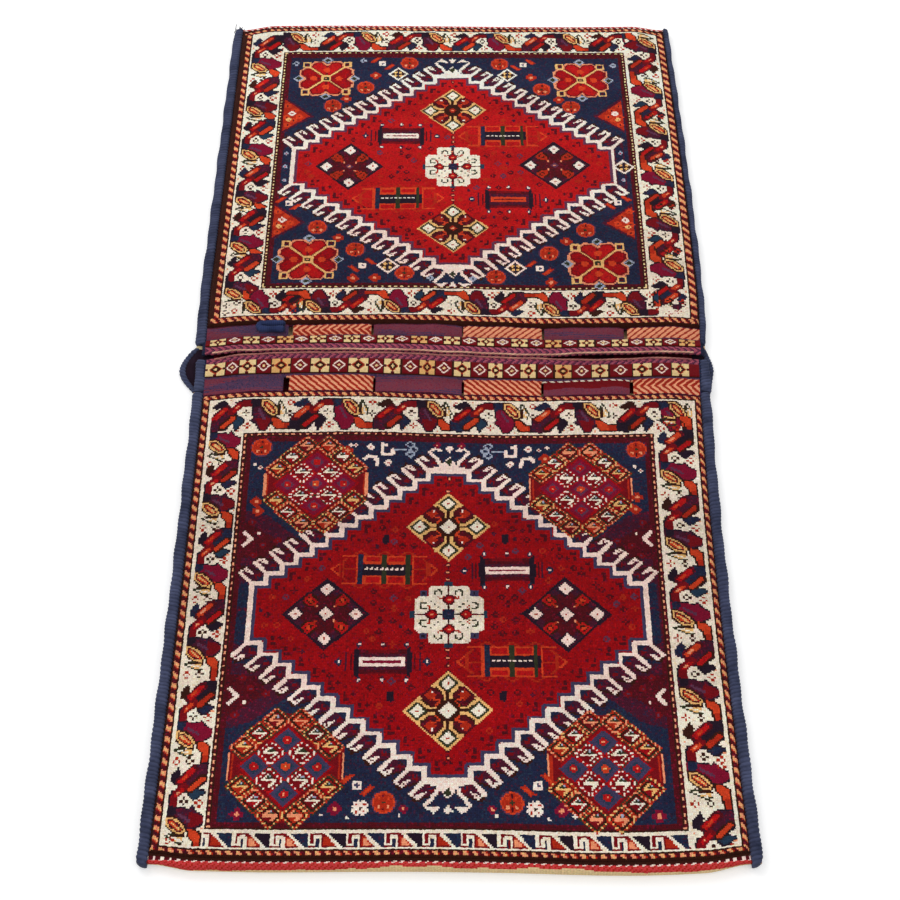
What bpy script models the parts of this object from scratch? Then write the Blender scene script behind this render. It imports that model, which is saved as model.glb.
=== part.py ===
"""Kilim saddle bag: one long woven strip, folded at both ends into two pockets that face up.

Metres, +Z up. X runs across the bag, +Y towards the rear pocket. The origin lies under the
middle of the bag's outline, on the floor.
"""

import math
from dataclasses import dataclass

import bmesh
import bpy

# Cloth
CLOTH = 0.0025
PILE = 0.0045
PILE_SHOULDER = 0.0015
POCKET_ROOM = 0.0075
SEAM_ROOM = 0.0006
SEAT = 0.0003
EDGE_FALL = 0.045

# Mouths
MOUTH_GAP = 0.008
MOUTH_RISE = 0.004
MOUTH_RISE_RUN = 0.09
TWINE_RAISE = 0.0015
STRIP_RAISE = 0.003
BLOCK_RAISE = 0.0008
WEAVE_STEP = 0.001
SLIT_WIDTH = 0.0035
SLIT_END = 0.0015
FREE_SELVEDGE = 0.004
FLAP_LIFT = 0.0087
CORD_RADIUS = 0.0013
CORD_INSET = 0.0022

# Wool bindings along the sides
SEAM_WRAP = 0.003
BINDING_INSET = 0.001
SEAM_WIDTH = 0.0135
NARROW_SEAM_WIDTH = 0.0085
OUTER_WRAP = 0.0022
FLAP_WRAP = 0.002
BRIDGE_WRAP = 0.0015
BRIDGE_GRIP = 0.006
BRIDGE_REACH = 0.3145
CORNER_ROUND = 0.0014
JOINT_GAP = 0.0023
TURN_PITCH = 0.014
TURN_SWELL = 0.0005

# Wrapped closure loop
LOOP_RADIUS = 0.0038
LOOP_LENGTH = 0.032
LOOP_LEG_GAP = 0.0008

# Outline
CENTRE_LINE = 0.0055
CORNER_DRAW = 0.006
CORNER_RUN = 0.06

# Knotted design
CELL = 0.0175
EDGE_LINE = 0.004
BARBER_LINE = 0.008
WHITE_LINE = 0.004
SIDE_BORDER = 0.041
INNER_LINE = 0.0035
GUARD_LINE = 0.005
DARK_LINE = 0.005
BORDER_REPEAT = 0.0935
SQUARE_COUNT = 25
SLIT_COUNT = 5
SLIT_MARGIN = 0.094

PALETTE = {
    "navy_wool": (0.016, 0.022, 0.062),
    "binding_wool": (0.035, 0.045, 0.105),
    "madder_wool": (0.330, 0.006, 0.008),
    "dark_red_wool": (0.110, 0.006, 0.010),
    "aubergine_wool": (0.055, 0.012, 0.030),
    "brown_wool": (0.030, 0.008, 0.004),
    "cream_wool": (0.760, 0.600, 0.430),
    "gold_wool": (0.620, 0.350, 0.110),
    "orange_wool": (0.560, 0.080, 0.025),
    "closure_purple": (0.095, 0.026, 0.075),
    "closure_orange": (0.660, 0.160, 0.060),
    "blue_wool": (0.040, 0.055, 0.160),
    "twined_edge": (0.230, 0.050, 0.085),
    "tan_weave": (0.560, 0.370, 0.190),
    "cord_wool": (0.480, 0.210, 0.140),
}


@dataclass(frozen=True)
class Pocket:
    """One pocket, measured along the cloth from its mouth."""

    name: str
    side: int
    twined: float
    squares: float
    closure: float
    pile_length: float
    end_band: float
    mouth_half: float
    end_half: float
    mouth_border: float
    end_border: float
    seam_start: float
    seam_left: float
    seam_right: float

    @property
    def band(self) -> float:
        return self.twined + self.squares + self.closure + 2 * WEAVE_STEP

    @property
    def pile_end(self) -> float:
        return self.band + self.pile_length

    @property
    def tip(self) -> float:
        return self.pile_end + self.end_band

    def half(self, q: float) -> float:
        return self.mouth_half + (self.end_half - self.mouth_half) * q / self.tip


REAR = Pocket(
    name="rear",
    side=1,
    twined=0.0075,
    squares=0.015,
    closure=0.0195,
    pile_length=0.5405,
    end_band=0.009,
    mouth_half=0.297,
    end_half=0.2895,
    mouth_border=0.034,
    end_border=0.036,
    seam_start=0.0185,
    seam_left=SEAM_WIDTH,
    seam_right=NARROW_SEAM_WIDTH,
)
FRONT = Pocket(
    name="front",
    side=-1,
    twined=0.0085,
    squares=0.019,
    closure=0.025,
    pile_length=0.5755,
    end_band=0.0105,
    mouth_half=0.291,
    end_half=0.2903,
    mouth_border=0.040,
    end_border=0.015,
    seam_start=0.0475,
    seam_left=SEAM_WIDTH,
    seam_right=SEAM_WIDTH,
)

MOUTH_CENTRE = (FRONT.tip - REAR.tip) / 2
FACE_UNDERSIDE = CLOTH + POCKET_ROOM
FOLD_RADIUS = CLOTH + POCKET_ROOM / 2
SEAM_LIFT = SEAM_WRAP + SEAT
SEAM_FACE_UNDERSIDE = SEAM_LIFT + CLOTH + SEAM_ROOM
SEAM_FOLD_RADIUS = CLOTH + SEAM_ROOM / 2
BRIDGE_LIFT = BRIDGE_WRAP + SEAT
BRIDGE_EDGE = BRIDGE_REACH - BRIDGE_WRAP - SEAT
FOLD_STEPS = 5


@dataclass(frozen=True)
class Row:
    """One line of the cloth from side to side, with its height at the middle and at the seams."""

    path: float
    y_mid: float
    z_mid: float
    y_edge: float
    z_edge: float
    half: float
    left: float
    right: float
    raised: float = 0.0
    sway: float = 0.0


def ease(t: float) -> float:
    t = min(max(t, 0.0), 1.0)
    return t * t * (3 - 2 * t)


def mix(a: float, b: float, t: float) -> float:
    return a + (b - a) * t


def mouth_wave(pocket: Pocket, x: float) -> float:
    """How far the hand-woven bands sway along the bag at this place across it."""
    if pocket.side > 0:
        wave = 0.005 * math.cos(2 * math.pi * (x + 0.14) / 0.62)
    else:
        wave = 0.0065 * math.cos(2 * math.pi * (x + 0.16) / 0.56)
    return wave * (1 - min(abs(x) / pocket.mouth_half, 1.0) ** 4)


def along(pocket: Pocket, q: float) -> float:
    return MOUTH_CENTRE + pocket.side * (MOUTH_GAP / 2 + q)


def drawn_in(pocket: Pocket, q: float) -> float:
    return CORNER_DRAW * ease((q - pocket.tip + CORNER_RUN) / CORNER_RUN)


def selvedges(pocket: Pocket, q: float) -> tuple[float, float]:
    """How far bare cloth runs past the pile at the left and the right."""
    if q >= pocket.seam_start - 1e-6:
        return pocket.seam_left - OUTER_WRAP - SEAT, pocket.seam_right - OUTER_WRAP - SEAT
    if pocket.side < 0:
        return pocket.seam_left - OUTER_WRAP - SEAT, pocket.seam_right - OUTER_WRAP - SEAT
    return FREE_SELVEDGE, FREE_SELVEDGE


def face_row(pocket: Pocket, q: float, outside: bool, raised: float = 0.0) -> Row:
    """A row of the upper layer: its underside, or its top where outside is set."""
    rise = MOUTH_RISE * max(0.0, 1 - q / MOUTH_RISE_RUN) ** 2
    lift = CLOTH if outside else 0.0
    edge = SEAM_FACE_UNDERSIDE
    if q < pocket.seam_start - 1e-6:
        edge = FLAP_LIFT
    left, right = selvedges(pocket, q)
    y = along(pocket, q)
    return Row(
        path=pocket.side * (10 + q),
        y_mid=y,
        z_mid=FACE_UNDERSIDE + rise + lift,
        y_edge=y - pocket.side * drawn_in(pocket, q),
        z_edge=edge + lift,
        half=pocket.half(q),
        left=left,
        right=right,
        raised=raised,
        sway=max(0.0, 1 - q / 0.3) ** 2,
    )


def fold_rows(pocket: Pocket, outside: bool) -> list[Row]:
    """The rows round the end fold, from the top layer down to the back."""
    rows = []
    left, right = selvedges(pocket, pocket.tip)
    for step in range(FOLD_STEPS + 1):
        angle = math.pi / 2 - math.pi * step / FOLD_STEPS
        mid = FOLD_RADIUS - (0 if outside else CLOTH)
        edge = SEAM_FOLD_RADIUS - (0 if outside else CLOTH)
        y_mid = along(pocket, pocket.tip) - pocket.side * FOLD_RADIUS
        y_edge = along(pocket, pocket.tip - CORNER_DRAW) - pocket.side * SEAM_FOLD_RADIUS
        rows.append(
            Row(
                path=pocket.side * (9.0 - step / FOLD_STEPS),
                y_mid=y_mid + pocket.side * mid * math.cos(angle),
                z_mid=FOLD_RADIUS + mid * math.sin(angle),
                y_edge=y_edge + pocket.side * edge * math.cos(angle),
                z_edge=SEAM_LIFT + SEAM_FOLD_RADIUS + edge * math.sin(angle),
                half=pocket.end_half,
                left=left,
                right=right,
            )
        )
    return rows


def back_row(pocket: Pocket, q: float, outside: bool, edge_lift: float) -> Row:
    """A row of the plain back, which lies on the floor."""
    lift = 0.0 if outside else CLOTH
    left, right = selvedges(pocket, pocket.tip)
    y = along(pocket, q)
    return Row(
        path=pocket.side * (1 + q),
        y_mid=y,
        z_mid=lift,
        y_edge=y - pocket.side * drawn_in(pocket, q),
        z_edge=edge_lift + lift,
        half=pocket.half(q),
        left=left,
        right=right,
    )


def bridge_share(pocket: Pocket, t: float) -> tuple[float, float, float, float]:
    """The bridge's place, half width and selvedges, t of the way from a seam's end to the middle."""
    seam_y = along(pocket, pocket.seam_start)
    middle_y = (along(REAR, REAR.seam_start) + along(FRONT, FRONT.seam_start)) / 2
    middle_half = (REAR.mouth_half + FRONT.mouth_half) / 2
    bulge = math.sin(math.pi / 2 * t)
    left, right = selvedges(pocket, pocket.tip)
    half = mix(pocket.half(pocket.seam_start), middle_half, t)
    return (
        mix(seam_y, middle_y, t),
        half,
        mix(left, BRIDGE_EDGE - middle_half + CENTRE_LINE, bulge),
        mix(right, BRIDGE_EDGE - middle_half - CENTRE_LINE, bulge),
    )


BRIDGE_STEPS = (0.06, 0.3, 0.6, 0.85)


def bridge_rows(pocket: Pocket, outside: bool) -> list[Row]:
    rows = []
    lift = 0.0 if outside else CLOTH
    for t in BRIDGE_STEPS:
        y, half, left, right = bridge_share(pocket, t)
        rows.append(
            Row(
                path=pocket.side * (1 - t) * 0.9,
                y_mid=y,
                z_mid=lift,
                y_edge=y,
                z_edge=BRIDGE_LIFT + lift,
                half=half,
                left=left,
                right=right,
            )
        )
    return rows


def bridge_middle(outside: bool) -> Row:
    y, half, left, right = bridge_share(REAR, 1.0)
    lift = 0.0 if outside else CLOTH
    return Row(0.0, y, lift, y, BRIDGE_LIFT + lift, half, left, right)


def place(pocket: Pocket, row: Row, u: float) -> tuple[float, float, float]:
    """A point of a row. u runs from -1 to 1 over the pile, and to -2 and 2 at the bare edges."""
    share = min(max(u, -1.0), 1.0)
    reach = share * row.half
    w = ease((abs(reach) - row.half + EDGE_FALL) / EDGE_FALL)
    x = reach
    if u < -1:
        x -= row.left * (-1 - u)
    if u > 1:
        x += row.right * (u - 1)
    inside = abs(u) < 1
    return (
        CENTRE_LINE + x,
        mix(row.y_mid, row.y_edge, w) + row.sway * mouth_wave(pocket, reach),
        mix(row.z_mid, row.z_edge, w) + (row.raised if inside else 0.0),
    )


EDGE_FALL_COLUMNS = (0.80, 0.845, 0.885, 0.925, 0.962)
SLITS = tuple(-1 + 2 * (SLIT_MARGIN + i * (0.582 - 2 * SLIT_MARGIN) / 4) / 0.582 for i in range(SLIT_COUNT))


def slit_columns() -> list[float]:
    half = SLIT_WIDTH / (REAR.mouth_half + FRONT.mouth_half)
    return [c + side * half for c in SLITS for side in (-1, 1)]


def framed(columns: list[float]) -> list[float]:
    """Columns sorted from side to side, with the bare selvedge at both ends."""
    kept = [-2.0, -1.0]
    for u in sorted(columns):
        if u - kept[-1] > 0.0035:
            kept.append(u)
    return [*kept, 1.0, 2.0]


def mouth_columns(fine: bool) -> list[float]:
    columns = slit_columns()
    falls = [side * u for u in EDGE_FALL_COLUMNS[::2] for side in (-1, 1)]
    if fine:
        for i in range(1, SQUARE_COUNT):
            u = -1 + 2 * i / SQUARE_COUNT
            if min(abs(u - c) for c in columns) > 0.006:
                columns.append(u)
        columns += [-0.9965, 0.9965]
    columns += [u for u in falls if min(abs(u - c) for c in columns) > 0.01]
    return framed(columns)


def back_columns() -> list[float]:
    return framed([side * u for u in EDGE_FALL_COLUMNS[::2] for side in (-1, 1)] + [0.0])


def border_marks(lines: list[float], start: float) -> list[float]:
    marks = [start]
    for width in lines:
        marks.append(marks[-1] + width)
    return marks


SIDE_LINES = [EDGE_LINE, BARBER_LINE, WHITE_LINE, SIDE_BORDER, INNER_LINE, GUARD_LINE, DARK_LINE]


def pile_columns(pocket: Pocket) -> list[float]:
    """Columns along the border lines, then even cells over the field."""
    half = (pocket.mouth_half + pocket.end_half) / 2
    marks = [0.001, *border_marks(SIDE_LINES, 0.0)[1:]]
    left = [-1 + m / half for m in marks]
    count = round(2 * (half - marks[-1]) / CELL)
    field = [mix(left[-1], -left[-1], i / count) for i in range(1, count)]
    return framed(left + field + [-u for u in left])


def end_lines(pocket: Pocket) -> list[float]:
    if pocket.side > 0:
        return [EDGE_LINE, BARBER_LINE, WHITE_LINE, pocket.end_border, WHITE_LINE, GUARD_LINE, DARK_LINE]
    return [EDGE_LINE, BARBER_LINE, INNER_LINE, pocket.end_border, INNER_LINE, DARK_LINE]


def mouth_lines(pocket: Pocket) -> list[float]:
    return [EDGE_LINE, BARBER_LINE, WHITE_LINE, pocket.mouth_border, WHITE_LINE, GUARD_LINE, DARK_LINE]


def pile_marks(pocket: Pocket) -> list[float]:
    """Places along the pile, from the mouth to the fold: border lines, then even cells."""
    near = border_marks(mouth_lines(pocket), pocket.band)[1:]
    far = sorted(pocket.pile_end - m for m in border_marks(end_lines(pocket), 0.0)[1:])
    count = round((far[0] - near[-1]) / CELL)
    field = [mix(near[-1], far[0], i / count) for i in range(1, count)]
    inside = [*near, *field, *far]
    return [pocket.band + PILE_SHOULDER, *inside, pocket.pile_end - PILE_SHOULDER]


def in_diamond(x: float, y: float, wide: float, tall: float) -> float:
    return abs(x) / wide + abs(y) / tall


def border_colour(pocket: Pocket, d: float, kind: int, run: float) -> str:
    """The colour at depth d into a border whose main band has this kind, run along it."""
    main = (SIDE_BORDER, pocket.mouth_border, pocket.end_border)[kind]
    if kind == 2 and pocket.side < 0:
        lines = end_lines(pocket)
        colours = ["brown_wool", "barber", "cream_wool", "hooks", "cream_wool", "dark_red_wool"]
    else:
        lines = [EDGE_LINE, BARBER_LINE, WHITE_LINE, main, INNER_LINE, GUARD_LINE, DARK_LINE]
        colours = ["brown_wool", "barber", "cream_wool", "vine", "cream_wool", "brown_wool", "dark_red_wool"]
    for width, colour in zip(lines, colours):
        if d < width:
            break
        d -= width
    step = math.floor(run / BORDER_REPEAT * 6)
    if colour == "barber":
        return "gold_wool" if step % 2 else "orange_wool"
    if colour == "hooks":
        return ("navy_wool", "cream_wool", "orange_wool")[step % 3]
    if colour == "vine":
        return ("cream_wool", "gold_wool", "aubergine_wool", "orange_wool", "navy_wool", "dark_red_wool")[step % 6]
    return colour


def medallion_colour(x: float, y: float, wide: float, tall: float, flank: float) -> str:
    """The stepped medallion: outline, red ground, four diamonds and a rosette."""
    level = max(in_diamond(x, y, wide, tall), abs(x) / flank)
    if level > 1.10:
        return ""
    if level > 1.01:
        return "aubergine_wool"
    if level > 0.93:
        return "cream_wool"
    if level > 0.87:
        return "blue_wool"
    if math.hypot(x, y) < 0.012:
        return "dark_red_wool"
    if math.hypot(x, y) < 0.036:
        return "cream_wool"
    if in_diamond(x, abs(y) - 0.107, 0.044, 0.044) < 1:
        return "gold_wool"
    if in_diamond(abs(x) - 0.129, y, 0.050, 0.046) < 1:
        return "aubergine_wool"
    if abs(abs(x) - 0.064) < 0.026 and abs(abs(y) - 0.055) < 0.014:
        return "brown_wool" if x * y < 0 else "orange_wool"
    return "madder_wool"


def pile_colour(pocket: Pocket, u: float, q: float) -> str:
    """The colour of the knots at u across the pocket and q from its mouth."""
    half = (pocket.mouth_half + pocket.end_half) / 2
    x = u * half
    side_depth = half - abs(x)
    near_depth = q - pocket.band
    far_depth = pocket.pile_end - q
    kind, depth, run = min(
        (0, side_depth, q), (1, near_depth, x + half), (2, far_depth, x + half), key=lambda b: b[1]
    )
    if side_depth < sum(SIDE_LINES) or near_depth < sum(mouth_lines(pocket)) or far_depth < sum(end_lines(pocket)):
        return border_colour(pocket, depth, kind, run)
    low = pocket.band + sum(mouth_lines(pocket))
    high = pocket.pile_end - sum(end_lines(pocket))
    y = q - (low + high) / 2
    tall = (high - low) / 2 * 0.97
    inner = medallion_colour(x, y, 1.35 * (half - sum(SIDE_LINES)), tall, half - sum(SIDE_LINES) - 0.016)
    if inner:
        return inner
    corner = 0.058 if pocket.side < 0 else 0.045
    cx = abs(x) - (half - sum(SIDE_LINES) - corner - 0.012)
    cy = abs(y) - (tall - corner - 0.004)
    if max(abs(cx), abs(cy), (abs(cx) + abs(cy)) * 0.72) < corner:
        near_middle = max(abs(cx), abs(cy)) < corner * 0.45
        if pocket.side < 0:
            return "cream_wool" if near_middle else "orange_wool"
        return "gold_wool" if near_middle else "madder_wool"
    return "navy_wool"


def band_colour(pocket: Pocket, u: float, q: float) -> str:
    """The colour of the flat-woven band and strip at the mouth."""
    if q < pocket.twined + WEAVE_STEP / 2:
        return "twined_edge"
    if q < pocket.twined + pocket.squares + 1.5 * WEAVE_STEP:
        number = math.floor((u + 1) / 2 * SQUARE_COUNT)
        return "dark_red_wool" if number % 2 else "cream_wool"
    block = sum(u > c for c in SLITS)
    return "closure_orange" if block % 2 else "closure_purple"


def make_material(name: str):
    material = bpy.data.materials.new(name)
    material.use_nodes = True
    shader = material.node_tree.nodes["Principled BSDF"]
    shader.inputs["Base Color"].default_value = (*PALETTE[name], 1.0)
    shader.inputs["Roughness"].default_value = 0.92
    shader.inputs["Metallic"].default_value = 0.0
    material.diffuse_color = (*PALETTE[name], 1.0)
    return material


class Solid:
    """A closed body under construction, with a material slot for each wool it uses."""

    def __init__(self) -> None:
        self.bm = bmesh.new()
        self.slots: list[str] = []

    def slot(self, colour: str) -> int:
        if colour not in self.slots:
            self.slots.append(colour)
        return self.slots.index(colour)

    def line(self, points) -> list:
        return [self.bm.verts.new(p) for p in points]

    def face(self, verts, colour: str) -> None:
        made = self.bm.faces.new(verts)
        made.material_index = self.slot(colour)

    def join(self, low, high, low_at, high_at, colour_at) -> None:
        """Faces between two lines, which may have different numbers of points."""
        if len(low) == len(high):
            for i in range(len(low) - 1):
                colour = colour_at((low_at[i] + low_at[i + 1]) / 2)
                if colour:
                    self.face((low[i], low[i + 1], high[i + 1], high[i]), colour)
            return
        i = j = 0
        while i < len(low) - 1 or j < len(high) - 1:
            take_low = j == len(high) - 1
            if i < len(low) - 1 and not take_low:
                take_low = low_at[i + 1] + low_at[i] <= high_at[j + 1] + high_at[j]
            if take_low:
                self.face((low[i], low[i + 1], high[j]), colour_at((low_at[i] + low_at[i + 1]) / 2))
                i += 1
            else:
                self.face((low[i], high[j + 1], high[j]), colour_at((high_at[j] + high_at[j + 1]) / 2))
                j += 1

    def finish(self, name: str, smooth: bool):
        bmesh.ops.recalc_face_normals(self.bm, faces=self.bm.faces)
        mesh = bpy.data.meshes.new(name)
        self.bm.to_mesh(mesh)
        self.bm.free()
        for colour in self.slots:
            mesh.materials.append(materials[colour])
        mesh.polygons.foreach_set("use_smooth", [smooth] * len(mesh.polygons))
        made = bpy.data.objects.new(name, mesh)
        bpy.context.scene.collection.objects.link(made)
        return made


class Layer:
    """One face of the cloth, laid row after row along the strip."""

    def __init__(self, solid: Solid) -> None:
        self.solid = solid
        self.sides: list[tuple] = []
        self.last = None
        self.rows: list[tuple] = []

    def lay(self, pocket: Pocket, row: Row, columns: list[float], colour_at) -> None:
        verts = self.solid.line(place(pocket, row, u) for u in columns)
        if self.last:
            self.solid.join(self.last[0], verts, self.last[1], columns, colour_at)
        self.last = (verts, columns)
        self.rows.append((row.path, verts, columns))
        self.sides.append((verts[0], verts[-1]))


def in_slit(pocket: Pocket, u: float, q: float) -> bool:
    """Whether this place falls in one of the closure slits."""
    low = pocket.band - pocket.closure + SLIT_END
    high = pocket.band - SLIT_END
    reach = SLIT_WIDTH / (REAR.mouth_half + FRONT.mouth_half)
    return low < q < high and any(abs(u - c) < reach for c in SLITS)


def mouth_marks(pocket: Pocket) -> list[tuple[float, float]]:
    """Places along the mouth bands with how far each is raised, from the edge to the pile."""
    strip_start = pocket.twined + WEAVE_STEP
    strip_end = strip_start + pocket.squares
    marks = [
        (0.0, TWINE_RAISE),
        (pocket.twined, TWINE_RAISE),
        (strip_start, STRIP_RAISE),
        (strip_end, STRIP_RAISE),
        (strip_end + WEAVE_STEP, BLOCK_RAISE),
        (pocket.band - pocket.closure + SLIT_END, BLOCK_RAISE),
        (pocket.band - SLIT_END, BLOCK_RAISE),
        (pocket.band, BLOCK_RAISE),
    ]
    raise_there = STRIP_RAISE if pocket.seam_start < strip_end else BLOCK_RAISE
    marks += [(pocket.seam_start - 0.002, raise_there), (pocket.seam_start, raise_there)]
    return sorted(marks)


def lay_outside(layer: Layer, pocket: Pocket, forwards: bool) -> None:
    """The outer side of one pocket: bands, pile, end band and fold."""
    fine = mouth_columns(True)
    pile = pile_columns(pocket)
    plain = back_columns()
    rows = []
    for q, raised in mouth_marks(pocket):
        rows.append((face_row(pocket, q, True, raised), fine, q))
    for q in pile_marks(pocket):
        rows.append((face_row(pocket, q, True, PILE), pile, q))
    rows.append((face_row(pocket, pocket.pile_end, True), plain, pocket.pile_end))
    for row in fold_rows(pocket, True):
        rows.append((row, plain, pocket.tip))
    rows.append((back_row(pocket, pocket.tip * 0.55, True, SEAM_LIFT), plain, 9.0))
    rows.append((back_row(pocket, pocket.seam_start, True, SEAM_LIFT), plain, 9.0))
    if not forwards:
        rows.reverse()
    last_q = None
    for row, columns, q in rows:
        middle = q if last_q is None else (q + last_q) / 2
        last_q = q

        def colour_at(u: float, middle: float = middle) -> str:
            if in_slit(pocket, u, middle):
                return ""
            if abs(u) > 1:
                return "navy_wool" if middle < pocket.tip else "tan_weave"
            if middle < pocket.band:
                return band_colour(pocket, u, middle)
            if middle < pocket.pile_end:
                return pile_colour(pocket, u, middle)
            if middle < (pocket.pile_end + pocket.tip) / 2:
                return "brown_wool"
            return "orange_wool" if middle < pocket.tip else "tan_weave"

        layer.lay(pocket, row, columns, colour_at)


def lay_inside(layer: Layer, pocket: Pocket, forwards: bool) -> None:
    """The inner side of one pocket."""
    coarse = mouth_columns(False)
    plain = back_columns()
    rows = [(face_row(pocket, q, False), coarse, q) for q, _ in mouth_marks(pocket)]
    for share in (0.02, 0.2, 0.5, 0.8, 0.94):
        q = mix(pocket.band, pocket.pile_end, share)
        rows.append((face_row(pocket, q, False), plain, q))
    rows += [(row, plain, 9.0) for row in fold_rows(pocket, False)]
    rows.append((back_row(pocket, pocket.tip * 0.55, False, SEAM_LIFT), plain, 9.0))
    rows.append((back_row(pocket, pocket.seam_start, False, SEAM_LIFT), plain, 9.0))
    if not forwards:
        rows.reverse()
    last_q = None
    for row, columns, q in rows:
        middle = q if last_q is None else (q + last_q) / 2
        last_q = q

        def colour_at(u: float, middle: float = middle) -> str:
            return "" if in_slit(pocket, u, middle) else "tan_weave"

        layer.lay(pocket, row, columns, colour_at)


def lay_bridge(layer: Layer, outside: bool) -> None:
    columns = back_columns()
    for row in bridge_rows(REAR, outside):
        layer.lay(REAR, row, columns, lambda u: "dark_red_wool")
    layer.lay(REAR, bridge_middle(outside), columns, lambda u: "dark_red_wool")
    for row in reversed(bridge_rows(FRONT, outside)):
        layer.lay(FRONT, row, columns, lambda u: "dark_red_wool")


def wall_slits(solid: Solid, outer: Layer, inner: Layer) -> None:
    """The four cut sides of every closure slit."""
    reach = SLIT_WIDTH / (REAR.mouth_half + FRONT.mouth_half)
    for pocket in (REAR, FRONT):
        low = pocket.band - pocket.closure + SLIT_END - 1e-6
        high = pocket.band - SLIT_END + 1e-6
        outer_rows = [r for r in outer.rows if low <= r[0] * pocket.side - 10 <= high]
        inner_rows = [r for r in inner.rows if low <= r[0] * pocket.side - 10 <= high]
        for centre in SLITS:
            rings = []
            for rows in (outer_rows, inner_rows):
                ring = []
                for _, verts, columns in rows:
                    pair = [v for v, u in zip(verts, columns) if abs(abs(u - centre) - reach) < 1e-6]
                    ring.append(pair)
                rings.append([p[0] for p in ring] + [p[1] for p in reversed(ring)])
            top, bottom = rings
            for i in range(len(top)):
                j = (i + 1) % len(top)
                solid.face((top[i], top[j], bottom[j], bottom[i]), "closure_purple")


def build_strip():
    """The whole woven strip: both faces with their pile, the mouths, folds, backs and bridge."""
    solid = Solid()
    outer = Layer(solid)
    inner = Layer(solid)
    for layer, lay, outside in ((outer, lay_outside, True), (inner, lay_inside, False)):
        lay(layer, REAR, True)
        lay_bridge(layer, outside)
        lay(layer, FRONT, False)
    for side in (0, 1):
        outer_side = [pair[side] for pair in outer.sides]
        inner_side = [pair[side] for pair in inner.sides]
        outer_at = path_lengths(outer)
        inner_at = path_lengths(inner)
        solid.join(outer_side, inner_side, outer_at, inner_at, lambda u: "navy_wool")
    for end in (0, -1):
        _, top, top_columns = outer.rows[end]
        _, bottom, bottom_columns = inner.rows[end]
        solid.join(top, bottom, top_columns, bottom_columns, lambda u: "twined_edge")
    wall_slits(solid, outer, inner)
    return solid.finish("woven_strip", False)


def path_lengths(layer: Layer) -> list[float]:
    """Each row's place along the strip, the same for the outer and the inner side."""
    places = []
    for path, _, _ in layer.rows:
        pocket = REAR if path >= 0 else FRONT
        q = abs(path)
        if q >= 10:
            place_along = 100 * (pocket.tip - (q - 10)) + 10
        elif q > 7.5:
            place_along = q - 8 + 9
        elif q >= 1:
            place_along = 8 * (q - 1) / pocket.tip
        else:
            place_along = (q - 0.9) * 0.9
        places.append(-pocket.side * (place_along + 1))
    return places


def sweep(name: str, colour: str, stations: list[tuple[float, list[tuple[float, float]]]]):
    """A closed body through the outlines, each an (x, z) ring at its own y."""
    solid = Solid()
    rings = [solid.line((x, y, z) for x, z in outline) for y, outline in stations]
    solid.face(rings[0], colour)
    solid.face(rings[-1], colour)
    for low, high in zip(rings, rings[1:]):
        for i in range(len(low)):
            j = (i + 1) % len(low)
            solid.face((low[i], low[j], high[j], high[i]), colour)
    return solid.finish(name, True)


def turns(start: float, end: float) -> list[tuple[float, float]]:
    """Stations from start to end with the swell of the yarn's turns at each."""
    count = max(2, round(abs(end - start) / TURN_PITCH))
    places = [(start, 0.0)]
    for i in range(1, count):
        t = (i + 0.2 * math.sin(1.7 * i)) / count
        places.append((mix(start, end, t), TURN_SWELL * (1 + math.sin(2.4 * i)) / 2))
    return [*places, (end, 0.0)]


def wrap_outline(side: int, lip: float, edge: float, outer: float, heights, channel, swell: float):
    """A wrapped edge in section: it grips the cloth from the lip to the edge, open inwards."""
    bottom, roof = channel
    low, top = heights
    top += swell
    outer += swell
    lip -= swell
    edge += min(swell / 2, SEAT)
    middle = (low + top) / 2
    corner = min(0.004, (outer - lip) * 0.4)
    points = [
        (lip, low),
        (outer - corner, low),
        (outer - corner * 0.25, mix(low, middle, 0.45)),
        (outer, middle),
        (outer - corner * 0.25, mix(top, middle, 0.45)),
        (outer - corner, top),
        (lip, top),
        (lip, roof),
        (edge, roof),
        (edge, bottom),
        (lip, bottom),
    ]
    return [(CENTRE_LINE + side * x, z) for x, z in points]


def build_seam(pocket: Pocket, side: int):
    """The overcast binding that joins both layers along one side of a pocket."""
    width = pocket.seam_left if side < 0 else pocket.seam_right
    pack = (SEAM_LIFT - SEAT, SEAM_FACE_UNDERSIDE + CLOTH + SEAT)
    heights = (0.0, pack[1] + SEAM_WRAP)
    end = pocket.tip - CORNER_DRAW
    stations = []
    places = [(q, swell, 0.0) for q, swell in turns(pocket.seam_start + 0.0002, end - 0.012)]
    places += [(end - 0.004, 0.0, 0.5), (end + 0.0025, 0.0, 1.0)]
    for q, swell, rounded in places:
        half = pocket.half(q)
        outer = half + width - rounded * CORNER_ROUND
        edge = half + width - OUTER_WRAP
        lip = half + BINDING_INSET
        stations.append((along(pocket, q), wrap_outline(side, lip, edge, outer, heights, pack, swell)))
    hand = "left" if side < 0 else "right"
    return sweep(f"{pocket.name}_{hand}_seam_binding", "binding_wool", stations)


def build_flap_wrap(side: int):
    """The wrapped selvedge of the front pocket's mouth, which hangs free over the bridge."""
    width = FRONT.seam_left if side < 0 else FRONT.seam_right
    channel = (FLAP_LIFT - SEAT, FLAP_LIFT + CLOTH + SEAT)
    heights = (channel[0] - FLAP_WRAP, channel[1] + FLAP_WRAP)
    stations = []
    for q, swell in turns(-0.0005, FRONT.seam_start - JOINT_GAP):
        half = FRONT.half(q)
        lip = half + BINDING_INSET
        edge = half + width - OUTER_WRAP
        outline = wrap_outline(side, lip, edge, half + width, heights, channel, swell)
        stations.append((along(FRONT, q), outline))
    hand = "left" if side < 0 else "right"
    return sweep(f"front_{hand}_mouth_selvedge", "binding_wool", stations)


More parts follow.
